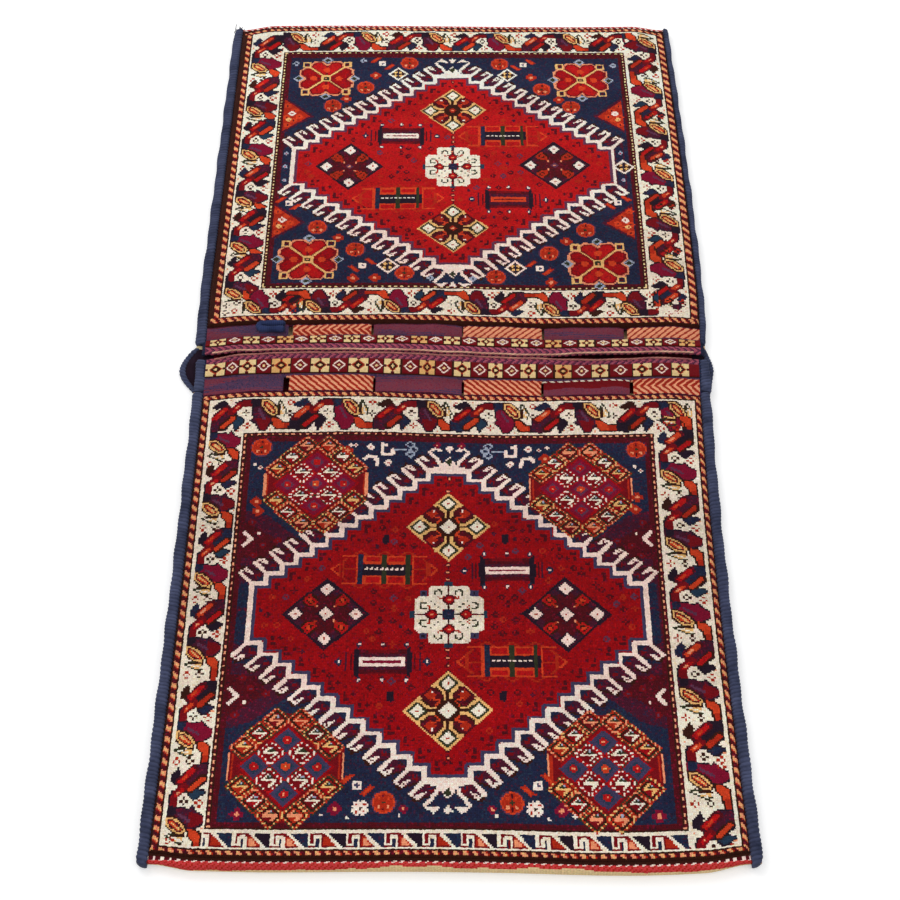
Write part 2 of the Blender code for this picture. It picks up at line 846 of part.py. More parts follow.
def build_bridge_wrap(side: int):
    """The wrapped selvedge of the bridge, which bulges out between the pockets."""
    channel = (BRIDGE_LIFT - SEAT, BRIDGE_LIFT + CLOTH + SEAT)
    heights = (0.0, channel[1] + BRIDGE_WRAP)
    places = [(REAR, t) for t in BRIDGE_STEPS] + [(REAR, 1.0)]
    places += [(FRONT, t) for t in reversed(BRIDGE_STEPS)]
    stations = []
    for pocket, t in places:
        y, half, left, right = bridge_share(pocket, t)
        edge = half + (left if side < 0 else right)
        outer = edge + SEAT + BRIDGE_WRAP
        outline = wrap_outline(side, edge - BRIDGE_GRIP, edge + SEAT, outer, heights, channel, 0.0)
        stations.append((y, outline))
    hand = "left" if side < 0 else "right"
    return sweep(f"bridge_{hand}_selvedge", "binding_wool", stations)


def tube(name: str, colour: str, path: list[tuple[float, float, float]], radius: float, sides: int):
    """A round cord along a path, closed at both ends."""
    solid = Solid()
    rings = []
    for i, point in enumerate(path):
        before = path[max(i - 1, 0)]
        after = path[min(i + 1, len(path) - 1)]
        dx = after[0] - before[0]
        dy = after[1] - before[1]
        length = math.hypot(dx, dy)
        across = (-dy / length, dx / length)
        ring = []
        for k in range(sides):
            angle = 2 * math.pi * (k + 0.5) / sides
            out = radius * math.cos(angle)
            up = radius * math.sin(angle)
            ring.append((point[0] + across[0] * out, point[1] + across[1] * out, point[2] + up))
        rings.append(solid.line(ring))
    for low, high in zip(rings, rings[1:]):
        for k in range(sides):
            n = (k + 1) % sides
            solid.face((low[k], low[n], high[n], high[k]), colour)
    solid.face(rings[0], colour)
    solid.face(rings[-1], colour)
    return solid.finish(name, True)


def build_mouth_cord(pocket: Pocket):
    """The thin cord sewn along the mouth, seated on the twined edge."""
    edge = face_row(pocket, CORD_INSET, True, TWINE_RAISE)
    path = []
    columns = mouth_columns(True)[2:-2]
    for i, u in enumerate(columns):
        if i % 2 and abs(u) < EDGE_FALL_COLUMNS[0] - 0.05:
            continue
        x, y, z = place(pocket, edge, u)
        path.append((x, y, z + SEAT + CORD_RADIUS))
    return tube(f"{pocket.name}_mouth_cord", "cord_wool", path, CORD_RADIUS, 6)


def build_loop():
    """The wrapped closure loop that lies on the rear band beside its first slit."""
    q = REAR.band - REAR.closure / 2
    x, y, z = place(REAR, face_row(REAR, q, True, BLOCK_RAISE), SLITS[0])
    level = z + 0.0009 + LOOP_RADIUS
    spread = LOOP_RADIUS + LOOP_LEG_GAP / 2
    y += 0.0015
    path = [(x, y - spread, level), (x - (LOOP_LENGTH - spread) / 2, y - spread, level)]
    for step in range(7):
        angle = -math.pi / 2 - math.pi * step / 6
        path.append((x - LOOP_LENGTH + spread + spread * math.cos(angle), y + spread * math.sin(angle), level))
    path += [(x - (LOOP_LENGTH - spread) / 2, y + spread, level), (x, y + spread, level)]
    return tube("closure_loop", "blue_wool", path, LOOP_RADIUS, 8)


for old in list(bpy.data.objects):
    bpy.data.objects.remove(old, do_unlink=True)

materials = {name: make_material(name) for name in PALETTE}

build_strip()
for pocket in (REAR, FRONT):
    for side in (-1, 1):
        build_seam(pocket, side)
    build_mouth_cord(pocket)
for side in (-1, 1):
    build_flap_wrap(side)
    build_bridge_wrap(side)
build_loop()
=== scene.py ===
"""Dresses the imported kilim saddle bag: knotted faces, woven bands, back, bindings, cords and loop.

Metres in the scene, and millimetres on the weaver's plan. X runs across the bag, +Y towards the
rear pocket and +Z up.
"""

import logging
import math
from dataclasses import dataclass, field
from enum import Enum

import bmesh
import bpy
import numpy as np
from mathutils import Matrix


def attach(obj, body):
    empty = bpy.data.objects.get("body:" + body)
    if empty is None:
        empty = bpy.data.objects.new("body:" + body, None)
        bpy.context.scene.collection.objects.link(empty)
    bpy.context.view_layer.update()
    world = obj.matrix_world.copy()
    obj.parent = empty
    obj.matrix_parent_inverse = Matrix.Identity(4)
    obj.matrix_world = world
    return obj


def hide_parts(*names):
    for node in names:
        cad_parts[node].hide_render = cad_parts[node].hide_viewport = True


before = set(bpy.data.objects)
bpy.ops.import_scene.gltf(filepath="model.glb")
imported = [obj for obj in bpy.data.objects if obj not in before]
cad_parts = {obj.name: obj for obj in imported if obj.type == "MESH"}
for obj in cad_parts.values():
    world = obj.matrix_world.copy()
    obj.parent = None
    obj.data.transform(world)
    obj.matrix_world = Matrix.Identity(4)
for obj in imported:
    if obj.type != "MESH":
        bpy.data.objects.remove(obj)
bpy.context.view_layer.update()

log = logging.getLogger("saddle_bag")
Points = list[tuple[float, float]]
Box = tuple[float, float, float, float]
Number = float | np.ndarray

CLOTH = 0.0025
PILE = 0.0045
SEAT = 0.0003
EDGE_FALL = 0.045
MOUTH_GAP = 0.008
MOUTH_RISE = 0.004
MOUTH_RISE_RUN = 0.09
FLAP_LIFT = 0.0087
FACE_UNDERSIDE = 0.01
SEAM_FACE_UNDERSIDE = 0.0064
SEAM_LIFT = 0.0033
FOLD_RADIUS = 0.00625
SEAM_FOLD_RADIUS = 0.0028
BRIDGE_LIFT = 0.0018
BRIDGE_REACH = 0.3145
LEFT_REACH = 0.3188
CENTRE_LINE = 0.0055
OUTER_WRAP = 0.0022
CORNER_DRAW = 0.006
CORNER_RUN = 0.06
LOOP_PLACE = -1 + 2 * 0.094 / 0.582
MOUTHS_MIDDLE = 0.0235
FREE_EDGE = 0.004
BRIDGE_HALF = 0.294
BRIDGE_WRAP = 0.0018
SEAM_WRAP = 0.0025
PLAN_CENTRE = 328.5
PLAN_SCALE = 1010.4
REAR_PLAN_MOUTH = 602.3
FRONT_PLAN_MOUTH = 610.3


def linear(colour: tuple[int, int, int]) -> tuple[float, ...]:
    """An sRGB colour in linear light."""
    return tuple(((c / 255 + 0.055) / 1.055) ** 2.4 if c > 10 else c / 255 / 12.92 for c in colour)


class Wool(Enum):
    """The dyed wools of the bag, as sRGB colours."""

    MADDER = (180, 16, 20)
    FIELD_RED = (152, 6, 14)
    CRIMSON = (126, 12, 44)
    DEEP_RED = (116, 10, 20)
    DARK_RED = (82, 12, 22)
    BROWN = (54, 22, 14)
    INK = (34, 20, 34)
    AUBERGINE = (70, 20, 40)
    PLUM = (94, 50, 74)
    NAVY = (30, 35, 62)
    SLATE = (62, 56, 86)
    TEAL = (34, 54, 74)
    MOSS = (48, 50, 32)
    CREAM = (246, 230, 208)
    PINK_WHITE = (255, 222, 208)
    GOLD = (234, 180, 112)
    STRAW = (244, 210, 150)
    SALMON = (236, 146, 106)
    ORANGE = (204, 62, 30)
    RUST = (172, 40, 20)
    PALE_BLUE = (160, 166, 184)
    CLOSURE_PURPLE = (122, 54, 70)
    CLOSURE_NAVY = (80, 56, 86)
    CLOSURE_ORANGE = (168, 42, 28)
    CLOSURE_LIGHT = (252, 166, 126)
    TWINE_ROSE = (178, 84, 104)
    TWINE_PLUM = (112, 46, 72)
    END_RED = (206, 62, 64)
    TAN = (228, 200, 150)

    @property
    def linear(self) -> tuple[float, ...]:
        """The colour in linear light."""
        return linear(self.value)

    @property
    def number(self) -> int:
        """Its place in the row of wools."""
        return WOOL_NUMBER[self]


(
    MADDER, FIELD_RED, CRIMSON, DEEP_RED, DARK_RED, BROWN, INK, AUBERGINE, PLUM, NAVY, SLATE, TEAL,
    MOSS, CREAM, PINK_WHITE, GOLD, STRAW, SALMON, ORANGE, RUST, PALE_BLUE, CLOSURE_PURPLE, CLOSURE_NAVY,
    CLOSURE_ORANGE, CLOSURE_LIGHT, TWINE_ROSE, TWINE_PLUM, END_RED, TAN,
) = Wool
NO_LIMITS = (-1e9, -1e9, 1e9, 1e9)
WOOL_NUMBER = {wool: i for i, wool in enumerate(Wool)}
WOOL_LINEAR = np.array([wool.linear for wool in Wool])
STRAYS = {
    NAVY: ((AUBERGINE, 0.14), (TEAL, 0.20), (INK, 0.12)),
    MADDER: ((DEEP_RED, 0.10), (RUST, 0.08)),
    FIELD_RED: ((DARK_RED, 0.12), (MADDER, 0.12), (CRIMSON, 0.05)),
    DARK_RED: ((INK, 0.12), (CRIMSON, 0.10)),
    AUBERGINE: ((NAVY, 0.12), (CRIMSON, 0.12)),
    CREAM: ((PINK_WHITE, 0.12), (TAN, 0.06)),
    CLOSURE_PURPLE: ((CLOSURE_NAVY, 0.10), (CRIMSON, 0.10)),
    CLOSURE_NAVY: ((NAVY, 0.12), (CLOSURE_PURPLE, 0.14)),
}


def ease(t: np.ndarray) -> np.ndarray:
    """A smooth step from 0 to 1."""
    t = np.clip(t, 0.0, 1.0)
    return t * t * (3 - 2 * t)


def mix(a: Number, b: Number, t: Number) -> Number:
    """The value t of the way from a to b."""
    return a + (b - a) * t


@dataclass(frozen=True)
class Pocket:
    """One pocket, measured along its cloth from the mouth.

    Its sizes are those of the CAD model, so that every piece lies where the solids lie.
    """

    name: str
    side: int
    twined: float
    squares: float
    closure: float
    pile_length: float
    end_band: float
    mouth_half: float
    end_half: float
    seam_start: float
    seam_left: float
    seam_right: float
    sway_size: float
    sway_place: float
    sway_run: float
    end_sway: float
    end_sway_place: float
    end_sway_run: float
    flare: float = 0.0
    waist: float = 0.0
    tuck: float = 0.0
    spread: float = 0.0

    @property
    def band(self) -> float:
        """Length of the woven bands at the mouth."""
        return self.twined + self.squares + self.closure + 0.002

    @property
    def pile_end(self) -> float:
        """Where the knots end."""
        return self.band + self.pile_length

    @property
    def tip(self) -> float:
        """Where the cloth folds under."""
        return self.pile_end + self.end_band

    @property
    def mean_half(self) -> float:
        """Half the usual width of the knotted face."""
        return (self.mouth_half + self.end_half) / 2

    def facing_up(self, rows: np.ndarray) -> np.ndarray:
        """A sheet's rows, given from the mouth, in the order that makes it face up."""
        return rows if self.side > 0 else rows[::-1]

    def half(self, q: Number) -> Number:
        """Half the width of the face at q.

        Args:
            q: distance from the mouth.

        Returns:
            Half the width there.
        """
        drawn = self.drawn_in(q) + self.tuck * np.maximum(0, 1 - q / 0.09)
        taper = (self.end_half - self.mouth_half) * q / self.tip
        return self.mouth_half + taper + self.flare * (q / self.tip) ** 2 - drawn

    def drawn_in(self, q: Number) -> Number:
        """Half the distance that the right side draws in at q."""
        return self.waist / 2 * np.sin(np.pi * np.clip(q / self.tip, 0, 1) ** 0.8)

    def offset(self, q: Number) -> Number:
        """How far the face's middle lies to the right at q."""
        return -self.flare * (q / self.tip) ** 2 - self.drawn_in(q)

    def along(self, q: Number) -> Number:
        """The place along the bag at q from the mouth."""
        return MOUTHS_MIDDLE + self.side * (MOUTH_GAP / 2 + q)

    def bare(self, u: np.ndarray, q: Number) -> np.ndarray:
        """How far bare cloth runs beyond the knots.

        Args:
            u: places across, from -1 to 1 over the knots and to 2 at the cloth's edge.
            q: distance from the mouth.

        Returns:
            The signed extra reach across.
        """
        unseamed = (q < self.seam_start) & (self.side > 0)
        left = np.where(unseamed, FREE_EDGE, self.seam_left - OUTER_WRAP - SEAT)
        right = np.where(unseamed, FREE_EDGE, self.seam_right - OUTER_WRAP - SEAT)
        return np.where(u < 0, -left, right) * np.maximum(np.abs(u) - 1, 0)

    def wave(self, reach: np.ndarray) -> np.ndarray:
        """How far the mouth's own rows sway along the bag."""
        fade = 1 - np.minimum(np.abs(reach) / self.mouth_half, 1) ** 4
        return fade * self.sway_size * np.cos(2 * np.pi * (reach + self.sway_place) / self.sway_run)

    def meeting(self, reach: np.ndarray) -> np.ndarray:
        """How far this mouth leans to the other one, on the left, where the two lie together.

        Args:
            reach: places across from the centre line.

        Returns:
            The lean of each place.
        """
        room = MOUTH_GAP + REAR.wave(reach) - FRONT.wave(reach)
        fade = 1 - np.minimum(np.abs(reach) / self.mouth_half, 1) ** 6
        return fade * np.maximum(room - 0.0016, 0) / 2 * (1 - ease((reach - 0.09) / 0.09))

    def sway(self, reach: np.ndarray, q: Number) -> np.ndarray:
        """How far the hand-woven rows sway along the bag.

        Args:
            reach: places across from the centre line.
            q: distance from the mouth.

        Returns:
            The sway of each place.
        """
        far = self.end_sway * np.cos(2 * np.pi * (reach + self.end_sway_place) / self.end_sway_run)
        far = far + self.spread * ease((reach + 0.16) / 0.2)
        far = far * self.side * ease((q - self.tip + 0.13) / 0.13)
        fade = 1 - np.minimum(np.abs(reach) / self.mouth_half, 1) ** 4
        near = self.wave(reach) * np.maximum(0, 1 - q / 0.3) ** 2
        return near + fade * far - self.side * self.meeting(reach) * np.maximum(0, 1 - q / 0.032) ** 2

    def face(self, u: Number, q: Number, lift: Number = 0.0) -> np.ndarray:
        """Points on the upper layer.

        Args:
            u: places across the pocket.
            q: distance from the mouth.
            lift: height above the cloth.

        Returns:
            An array of points.
        """
        u, q, lift = np.broadcast_arrays(np.asarray(u, float), np.asarray(q, float), np.asarray(lift, float))
        half = self.half(q)
        reach = np.clip(u, -1, 1) * half
        w = ease((np.abs(reach) - half + EDGE_FALL) / EDGE_FALL)
        rise = MOUTH_RISE * np.maximum(0, 1 - q / MOUTH_RISE_RUN) ** 2
        free = 1 - ease((q - self.seam_start + 0.006) / 0.008)
        edge = mix(SEAM_FACE_UNDERSIDE, FLAP_LIFT, free)
        drawn = CORNER_DRAW * ease((q - self.tip + CORNER_RUN) / CORNER_RUN)
        y = self.along(q) - self.side * drawn * w + self.sway(reach, q)
        x = CENTRE_LINE + self.offset(q) + reach + self.bare(u, q)
        settle = 0.0009 * np.sin(x * 23 + y * 9 + 1.3) * np.sin(y * 17 - x * 5)
        settle = (settle + 0.0004 * np.sin(x * 71 - y * 33) * np.sin(y * 83 + x * 19)) * (1 - w)
        z = mix(FACE_UNDERSIDE + rise, edge, w) + CLOTH + lift + settle
        return np.stack([x, y, z], axis=-1)

    def fold(self, u: np.ndarray, angle: float, lift: float = 0.0) -> np.ndarray:
        """A row of points round the end fold.

        Args:
            u: places across.
            angle: angle above level.
            lift: distance off the cloth.

        Returns:
            An array of points.
        """
        half = self.half(self.tip)
        reach = np.clip(u, -1, 1) * half
        w = ease((np.abs(reach) - half + EDGE_FALL) / EDGE_FALL)
        radius = mix(FOLD_RADIUS, SEAM_FOLD_RADIUS, w)
        centre = mix(FOLD_RADIUS, SEAM_LIFT + SEAM_FOLD_RADIUS, w)
        y = self.along(self.tip) - self.side * (CORNER_DRAW * w + radius)
        y = y + self.sway(reach, self.tip)
        radius = radius + lift
        y = y + self.side * radius * math.cos(angle)
        x = CENTRE_LINE + self.offset(self.tip) + reach + self.bare(u, self.tip)
        return np.stack([x, y, centre + radius * math.sin(angle)], axis=-1)

    def back(self, u: np.ndarray, q: float) -> np.ndarray:
        """A row of points on the plain back.

        Args:
            u: places across.
            q: distance from the mouth.

        Returns:
            An array of points.
        """
        half = self.half(q)
        reach = np.clip(u, -1, 1) * half
        w = ease((np.abs(reach) - half + EDGE_FALL) / EDGE_FALL)
        drawn = CORNER_DRAW * ease((q - self.tip + CORNER_RUN) / CORNER_RUN)
        x = CENTRE_LINE + self.offset(q) + reach + self.bare(u, self.tip)
        sway = self.sway(reach, q) * ease((q - self.tip + 0.1) / 0.1)
        return np.stack([x, self.along(q) - self.side * drawn * w + sway, SEAM_LIFT * w], axis=-1)


REAR = Pocket(
    name="rear", side=1, twined=0.0075, squares=0.015,
    closure=0.0195, pile_length=0.5405, end_band=0.009, mouth_half=0.297,
    end_half=0.2895, seam_start=0.0185, seam_left=0.0135, seam_right=0.0085,
    sway_size=0.005, sway_place=0.14, sway_run=0.62, end_sway=0.0018,
    end_sway_place=0.18, end_sway_run=0.7, waist=-0.0035, tuck=0.003,
)
FRONT = Pocket(
    name="front", side=-1, twined=0.0085, squares=0.019,
    closure=0.025, pile_length=0.5755, end_band=0.0105, mouth_half=0.291,
    end_half=0.2903, seam_start=0.0475, seam_left=0.0135, seam_right=0.0135,
    sway_size=0.0065, sway_place=0.16, sway_run=0.56, end_sway=0.0022,
    end_sway_place=0.181, end_sway_run=0.386, flare=0.003, waist=0.0056,
    spread=0.0042,
)


def bridge_edge(pocket: Pocket, side: int, t: float) -> tuple[float, float, float]:
    """The bridge's edge on one side, on its way from a pocket's seam to the middle.

    Args:
        pocket: the pocket that it starts from.
        side: -1 on the left and 1 on the right.
        t: the share of the way to the middle.

    Returns:
        Half the width without the bare edge, the bare edge's own width, and the place along the bag.
    """
    own = (pocket.seam_left if side < 0 else pocket.seam_right) - SEAM_WRAP
    reach = LEFT_REACH if side < 0 else BRIDGE_REACH
    bare = mix(own, reach - BRIDGE_WRAP - BRIDGE_HALF - side * CENTRE_LINE, math.sin(math.pi / 2 * t))
    middle = (REAR.along(REAR.seam_start) + FRONT.along(FRONT.seam_start)) / 2
    half = mix(pocket.half(pocket.seam_start), BRIDGE_HALF, t)
    return half, bare, mix(pocket.along(pocket.seam_start), middle, t)


# ---------------------------------------------------------------- the weaver's plan


def plan_across(u: np.ndarray, half: float) -> np.ndarray:
    """The plan's millimetre places for places from -1 to 1 over a face of this half width."""
    return PLAN_CENTRE + PLAN_SCALE * u * half


class Plan:
    """The weaver's plan: one wool for each knot, drawn with plain shapes in millimetres."""

    def __init__(self, x: np.ndarray, y: np.ndarray, ground: Wool) -> None:
        """Starts a plan of one colour.

        Args:
            x: the millimetre place of each column of knots.
            y: the millimetre place of each row of knots.
            ground: the wool of the whole ground.
        """
        self.x, self.y = x, y
        self.wool = np.full((len(y), len(x)), ground.number)
        self.limits = NO_LIMITS

    def window(
        self, low_x: float, low_y: float, high_x: float, high_y: float
    ) -> tuple[np.ndarray, np.ndarray, np.ndarray] | None:
        """The knots inside a rectangle.

        Args:
            low_x, low_y, high_x, high_y: its sides.

        Returns:
            The block of the plan, and the millimetre places of its columns and rows, or None where
            it is empty.
        """
        low_x, low_y = max(low_x, self.limits[0]), max(low_y, self.limits[1])
        high_x, high_y = min(high_x, self.limits[2]), min(high_y, self.limits[3])
        columns = np.flatnonzero((self.x >= low_x) & (self.x <= high_x))
        rows = np.flatnonzero((self.y >= low_y) & (self.y <= high_y))
        if not len(columns) or not len(rows):
            return None
        block = self.wool[rows.min() : rows.max() + 1, columns.min() : columns.max() + 1]
        return block, self.x[None, columns], self.y[rows, None]

    def polygon(self, points: Points, wool: Wool) -> None:
        """Fills a polygon.

        Args:
            points: its corners.
            wool: its wool.
        """
        xs, ys = [p[0] for p in points], [p[1] for p in points]
        found = self.window(min(xs), min(ys), max(xs), max(ys))
        if found is None:
            return
        block, x, y = found
        inside = np.zeros(block.shape, bool)
        for (ax, ay), (bx, by) in zip(points, points[1:] + points[:1]):
            if ay != by:
                inside ^= ((ay > y) != (by > y)) & (x < (bx - ax) * (y - ay) / (by - ay) + ax)
        block[inside] = wool.number

    def stroke(self, points: Points, width: float, wool: Wool) -> None:
        """Draws a line of this width through the points.

        Args:
            points: the line.
            width: its width.
            wool: its wool.
        """
        reach = width / 2
        for (ax, ay), (bx, by) in zip(points, points[1:]):
            low_x, low_y, high_x, high_y = min(ax, bx), min(ay, by), max(ax, bx), max(ay, by)
            found = self.window(low_x - reach, low_y - reach, high_x + reach, high_y + reach)
            if found is None:
                continue
            block, x, y = found
            long = max((bx - ax) ** 2 + (by - ay) ** 2, 1e-9)
            t = np.clip(((x - ax) * (bx - ax) + (y - ay) * (by - ay)) / long, 0, 1)
            near = (x - ax - t * (bx - ax)) ** 2 + (y - ay - t * (by - ay)) ** 2 <= reach**2
            block[near] = wool.number

    def oval(self, x: float, y: float, a: float, b: float, wool: Wool) -> None:
        """Fills an oval.

        Args:
            x, y: its centre.
            a, b: its half sizes.
            wool: its wool.
        """
        found = self.window(x - a, y - b, x + a, y + b)
        if found is not None:
            block, px, py = found
            block[((px - x) / a) ** 2 + ((py - y) / b) ** 2 <= 1] = wool.number


@dataclass
class Pencil:
    """Draws on a plan round its own centre, mirrored or turned where asked."""

    plan: Plan
    x: float
    y: float
    across: float = 1.0
    down: float = 1.0
    turned: bool = False

    def to_plan(self, points: Points) -> Points:
        """The points in the plan's own millimetres.

        Args:
            points: places round the centre.

        Returns:
            Places on the plan.
        """
        if self.turned:
            return [(self.x + self.across * b, self.y + self.down * a) for a, b in points]
        return [(self.x + self.across * a, self.y + self.down * b) for a, b in points]

    def polygon(self, points: Points, wool: Wool) -> None:
        """Fills a polygon."""
        self.plan.polygon(self.to_plan(points), wool)

    def stroke(self, points: Points, width: float, wool: Wool) -> None:
        """Draws a line."""
        self.plan.stroke(self.to_plan(points), width, wool)

    def box(self, a0: float, b0: float, a1: float, b1: float, wool: Wool) -> None:
        """Fills a rectangle."""
        self.polygon([(a0, b0), (a1, b0), (a1, b1), (a0, b1)], wool)

    def diamond(self, a: float, b: float, wide: float, tall: float, wool: Wool) -> None:
        """Fills a diamond with these half diagonals."""
        self.polygon([(a - wide, b), (a, b - tall), (a + wide, b), (a, b + tall)], wool)

    def ring(self, a: float, b: float, wide: float, tall: float, width: float, wool: Wool) -> None:
        """Draws the outline of a diamond."""
        corners = [(a - wide, b), (a, b - tall), (a + wide, b), (a, b + tall), (a - wide, b)]
        self.stroke(corners, width, wool)

    def oval(self, a: float, b: float, wide: float, tall: float, wool: Wool) -> None:
        """Fills an oval."""
        ((x, y),) = self.to_plan([(a, b)])
        self.plan.oval(x, y, *((tall, wide) if self.turned else (wide, tall)), wool)

    def sprig(self, a: float, b: float, petals: Wool, heart: Wool, size: float = 5.0) -> None:
        """Draws a small flower with four petals.

        Args:
            a, b: its centre.
            petals, heart: its wools.
            size: half its width, about.
        """
        for da, db in ((size * 0.6, 0), (-size * 0.6, 0), (0, size * 0.6), (0, -size * 0.6)):
            self.oval(a + da, b + db, size * 0.55, size * 0.55, petals)
        self.oval(a, b, size * 0.36, size * 0.36, heart)

    def cross(self, a: float, b: float, wool: Wool, size: float = 3.1) -> None:
        """Draws a small cross of knots round an open centre."""
        for da, db in ((size, 0), (-size, 0), (0, size), (0, -size)):
            self.box(a + da - 1.4, b + db - 1.4, a + da + 1.4, b + db + 1.4, wool)

    def loop(self, points: Points, width: float, wool: Wool) -> None:
        """Draws a closed line."""
        self.stroke([*points, points[0]], width, wool)


def mirrored(plan: Plan, x: float, y: float) -> list[Pencil]:
    """Four pencils at one centre, one for each quarter."""
    return [Pencil(plan, x, y, a, b) for a in (-1, 1) for b in (-1, 1)]


@dataclass(frozen=True)
class Lines:
    """The millimetre places of a face's border lines, from its edge to its field."""

    left: tuple[float, ...]
    right: tuple[float, ...]
    top: tuple[float, ...]
    bottom: tuple[float, ...]

    def box(self, level: int) -> Box:
        """The rectangle inside this many lines."""
        return self.left[level], self.top[level], self.right[level], self.bottom[level]


@dataclass(frozen=True)
class BorderSide:
    """One side of the main border: a meander of double leaves, arches, gold buds and stems on cream.

    A repeat is drawn round its gold bud, with the side's outer line at the top.
    """

    box: Box
    line: float
    buds: tuple[float, ...]
    way: int = 1
    upright: bool = False
    wide: float = 46.0
    lead: float = 1.0
    first: int = 0

    def draw(self, plan: Plan) -> None:
        """Draws every repeat inside the side's own rectangle.

        Args:
            plan: the plan to draw on.
        """
        plan.limits = self.box
        for i, bud in enumerate(self.buds):
            place = (self.line, bud) if self.upright else (bud, self.line)
            self.repeat(Pencil(plan, *place, self.way, self.way, self.upright), i + self.first)
        plan.limits = NO_LIMITS

    def fitted(self, points: Points) -> Points:
        """The points at this side's own width and repeat."""
        k = self.wide / 46
        return [(a if a > -14 else -14 + (a + 14) * self.lead, b * k) for a, b in points]

    def repeat(self, pen: Pencil, number: int) -> None:
        """Draws one repeat.

        Args:
            pen: placed at the gold bud.
            number: counts the repeats, whose colours vary.
        """
        body = (AUBERGINE, INK, AUBERGINE, NAVY)[number % 4]
        spike = (INK, NAVY, BROWN)[number % 3]
        tail = (TEAL, INK, NAVY)[number % 3]
        first = (MADDER, ORANGE, MADDER)[number % 3]
        second = (ORANGE, MADDER, RUST)[number % 3]
        fall = (AUBERGINE, CRIMSON)[number % 2]

        def fill(points: Points, wool: Wool) -> None:
            """Fills a fitted polygon."""
            pen.polygon(self.fitted(points), wool)

        def line(points: Points, width: float, wool: Wool) -> None:
            """Draws a fitted line."""
            pen.stroke(self.fitted(points), width, wool)

        def leaf(points: Points, wool: Wool) -> None:
            """Fills a fitted polygon that has a dark outline."""
            line([*points, points[0]], 3.2, INK)
            fill(points, wool)

        leaf([(-67, 30), (-60, 21), (-48, 10), (-41, 13), (-35, 20), (-38, 32), (-47, 43), (-58, 45),
              (-68, 43)], body)
        fill([(-66, 10), (-60, 5), (-53, 0.5), (-48, 2), (-44, 9), (-41, 15), (-46, 15), (-52, 11),
              (-58, 14)], spike)
        line([(-62, 28), (-47.5, 13.5)], 10.0, DARK_RED)
        line([(-60.5, 26.5), (-48.5, 14.5)], 6.0, first)
        line([(-55, 21), (-50.5, 16.5)], 2.4, ORANGE if first is MADDER else SALMON)
        leaf([(-38, 23), (-31, 26), (-26, 31), (-27, 35), (-31, 39), (-34.5, 45), (-37, 37)], tail)
        line([(-51, 40), (-38, 27)], 9.0, BROWN)
        line([(-50, 39), (-38, 27)], 5.6, second)
        line([(-41, 19), (-31, 8), (-14, 7.5)], 9.6, DEEP_RED)
        line([(-38.5, 17.5), (-31.5, 10)], 4.2, (MADDER, ORANGE)[number % 2])
        line([(-35, 13), (-33, 11)], 2.2, SALMON)
        line([(-36, 5.5), (-29, 2.4), (-9, 2.4)], 2.2, INK)
        leaf([(-18, 2), (-6, 2), (-7, 12), (-4, 18), (1, 24), (7, 28), (6, 35), (3, 41), (-1, 46),
              (-6, 46), (-9, 40),
              (-11, 36), (-17, 31), (-13.5, 28), (-15.5, 22), (-16, 12)], fall)
        fill([(-18, 2.5), (-7, 2.5), (-8, 11), (-16, 14)], (INK, NAVY)[number % 2])
        fill([(-12, 29), (0, 27), (6, 30), (3, 40), (-1, 44.5), (-6, 44.5),
              (-9, 38)], (DEEP_RED, CRIMSON)[number % 2])
        line([(-9, 16), (-2, 29)], 3.0, PLUM)
        fill([(6, 27), (14, 27.5), (20.5, 34), (34, 34.5), (34, 44), (12, 45.5), (7, 38)], BROWN)
        fill([(7, 29), (14, 29.5), (20, 36), (34, 36.5), (34, 42.5), (13, 43.5), (8.5, 37.5)], ORANGE)
        fill([(22, 36.5), (36, 36.5), (36, 43), (22, 43)], RUST)
        fill([(-8.5, 1.5), (2, 0.8), (8.5, 6), (14, 14.5), (15.5, 24), (8.5, 28), (0, 22.5),
              (-7, 13)], BROWN)
        fill([(-6.6, 3), (1.5, 2.6), (7, 7.6), (12.2, 15), (13.2, 23), (8.2, 25.8), (1, 20.6),
              (-5, 12)], GOLD)
        fill([(-4.6, 4.8), (1.0, 4.6), (6.0, 9.4), (10.6, 16), (11, 22), (7.8, 23.4), (2, 18.4),
              (-3.4, 11.2)], DARK_RED)
        fill([(-2.6, 6.4), (0.8, 6.6), (5, 11), (9, 17), (9.2, 20.8), (7.4, 21.4), (3.2, 17),
              (-1.8, 10.2)], ORANGE)
        line([(-0.6, 8.6), (7.6, 19)], 1.9, GOLD)
        line([(13.2, 8), (16, 14), (15.5, 24)], 3.0, BROWN)
        fill([(16, 15), (18, 10), (21, 16), (20, 23), (16, 24)], GOLD)
        line([(15, 3), (13, 14)], 2.0, MOSS)
        line([(15.5, 3), (23, 18), (21.5, 25)], 2.0, MOSS)
        line([(17, 12), (19, 20)], 1.9, CREAM)
        for a, b, wool in ((-24, 20.5, BROWN), (-21.4, 38.5, RUST), (28, 6.5, RUST), (28, 22, BROWN)):
            ((a, b),) = self.fitted([(a, b)])
            pen.cross(a, b, wool)
        for a, b in ((-42, 1.5), (6, 45.5), (-30, 43)):
            ((a, b),) = self.fitted([(a, b)])
            pen.diamond(a, b, 1.5, 1.5, SALMON)


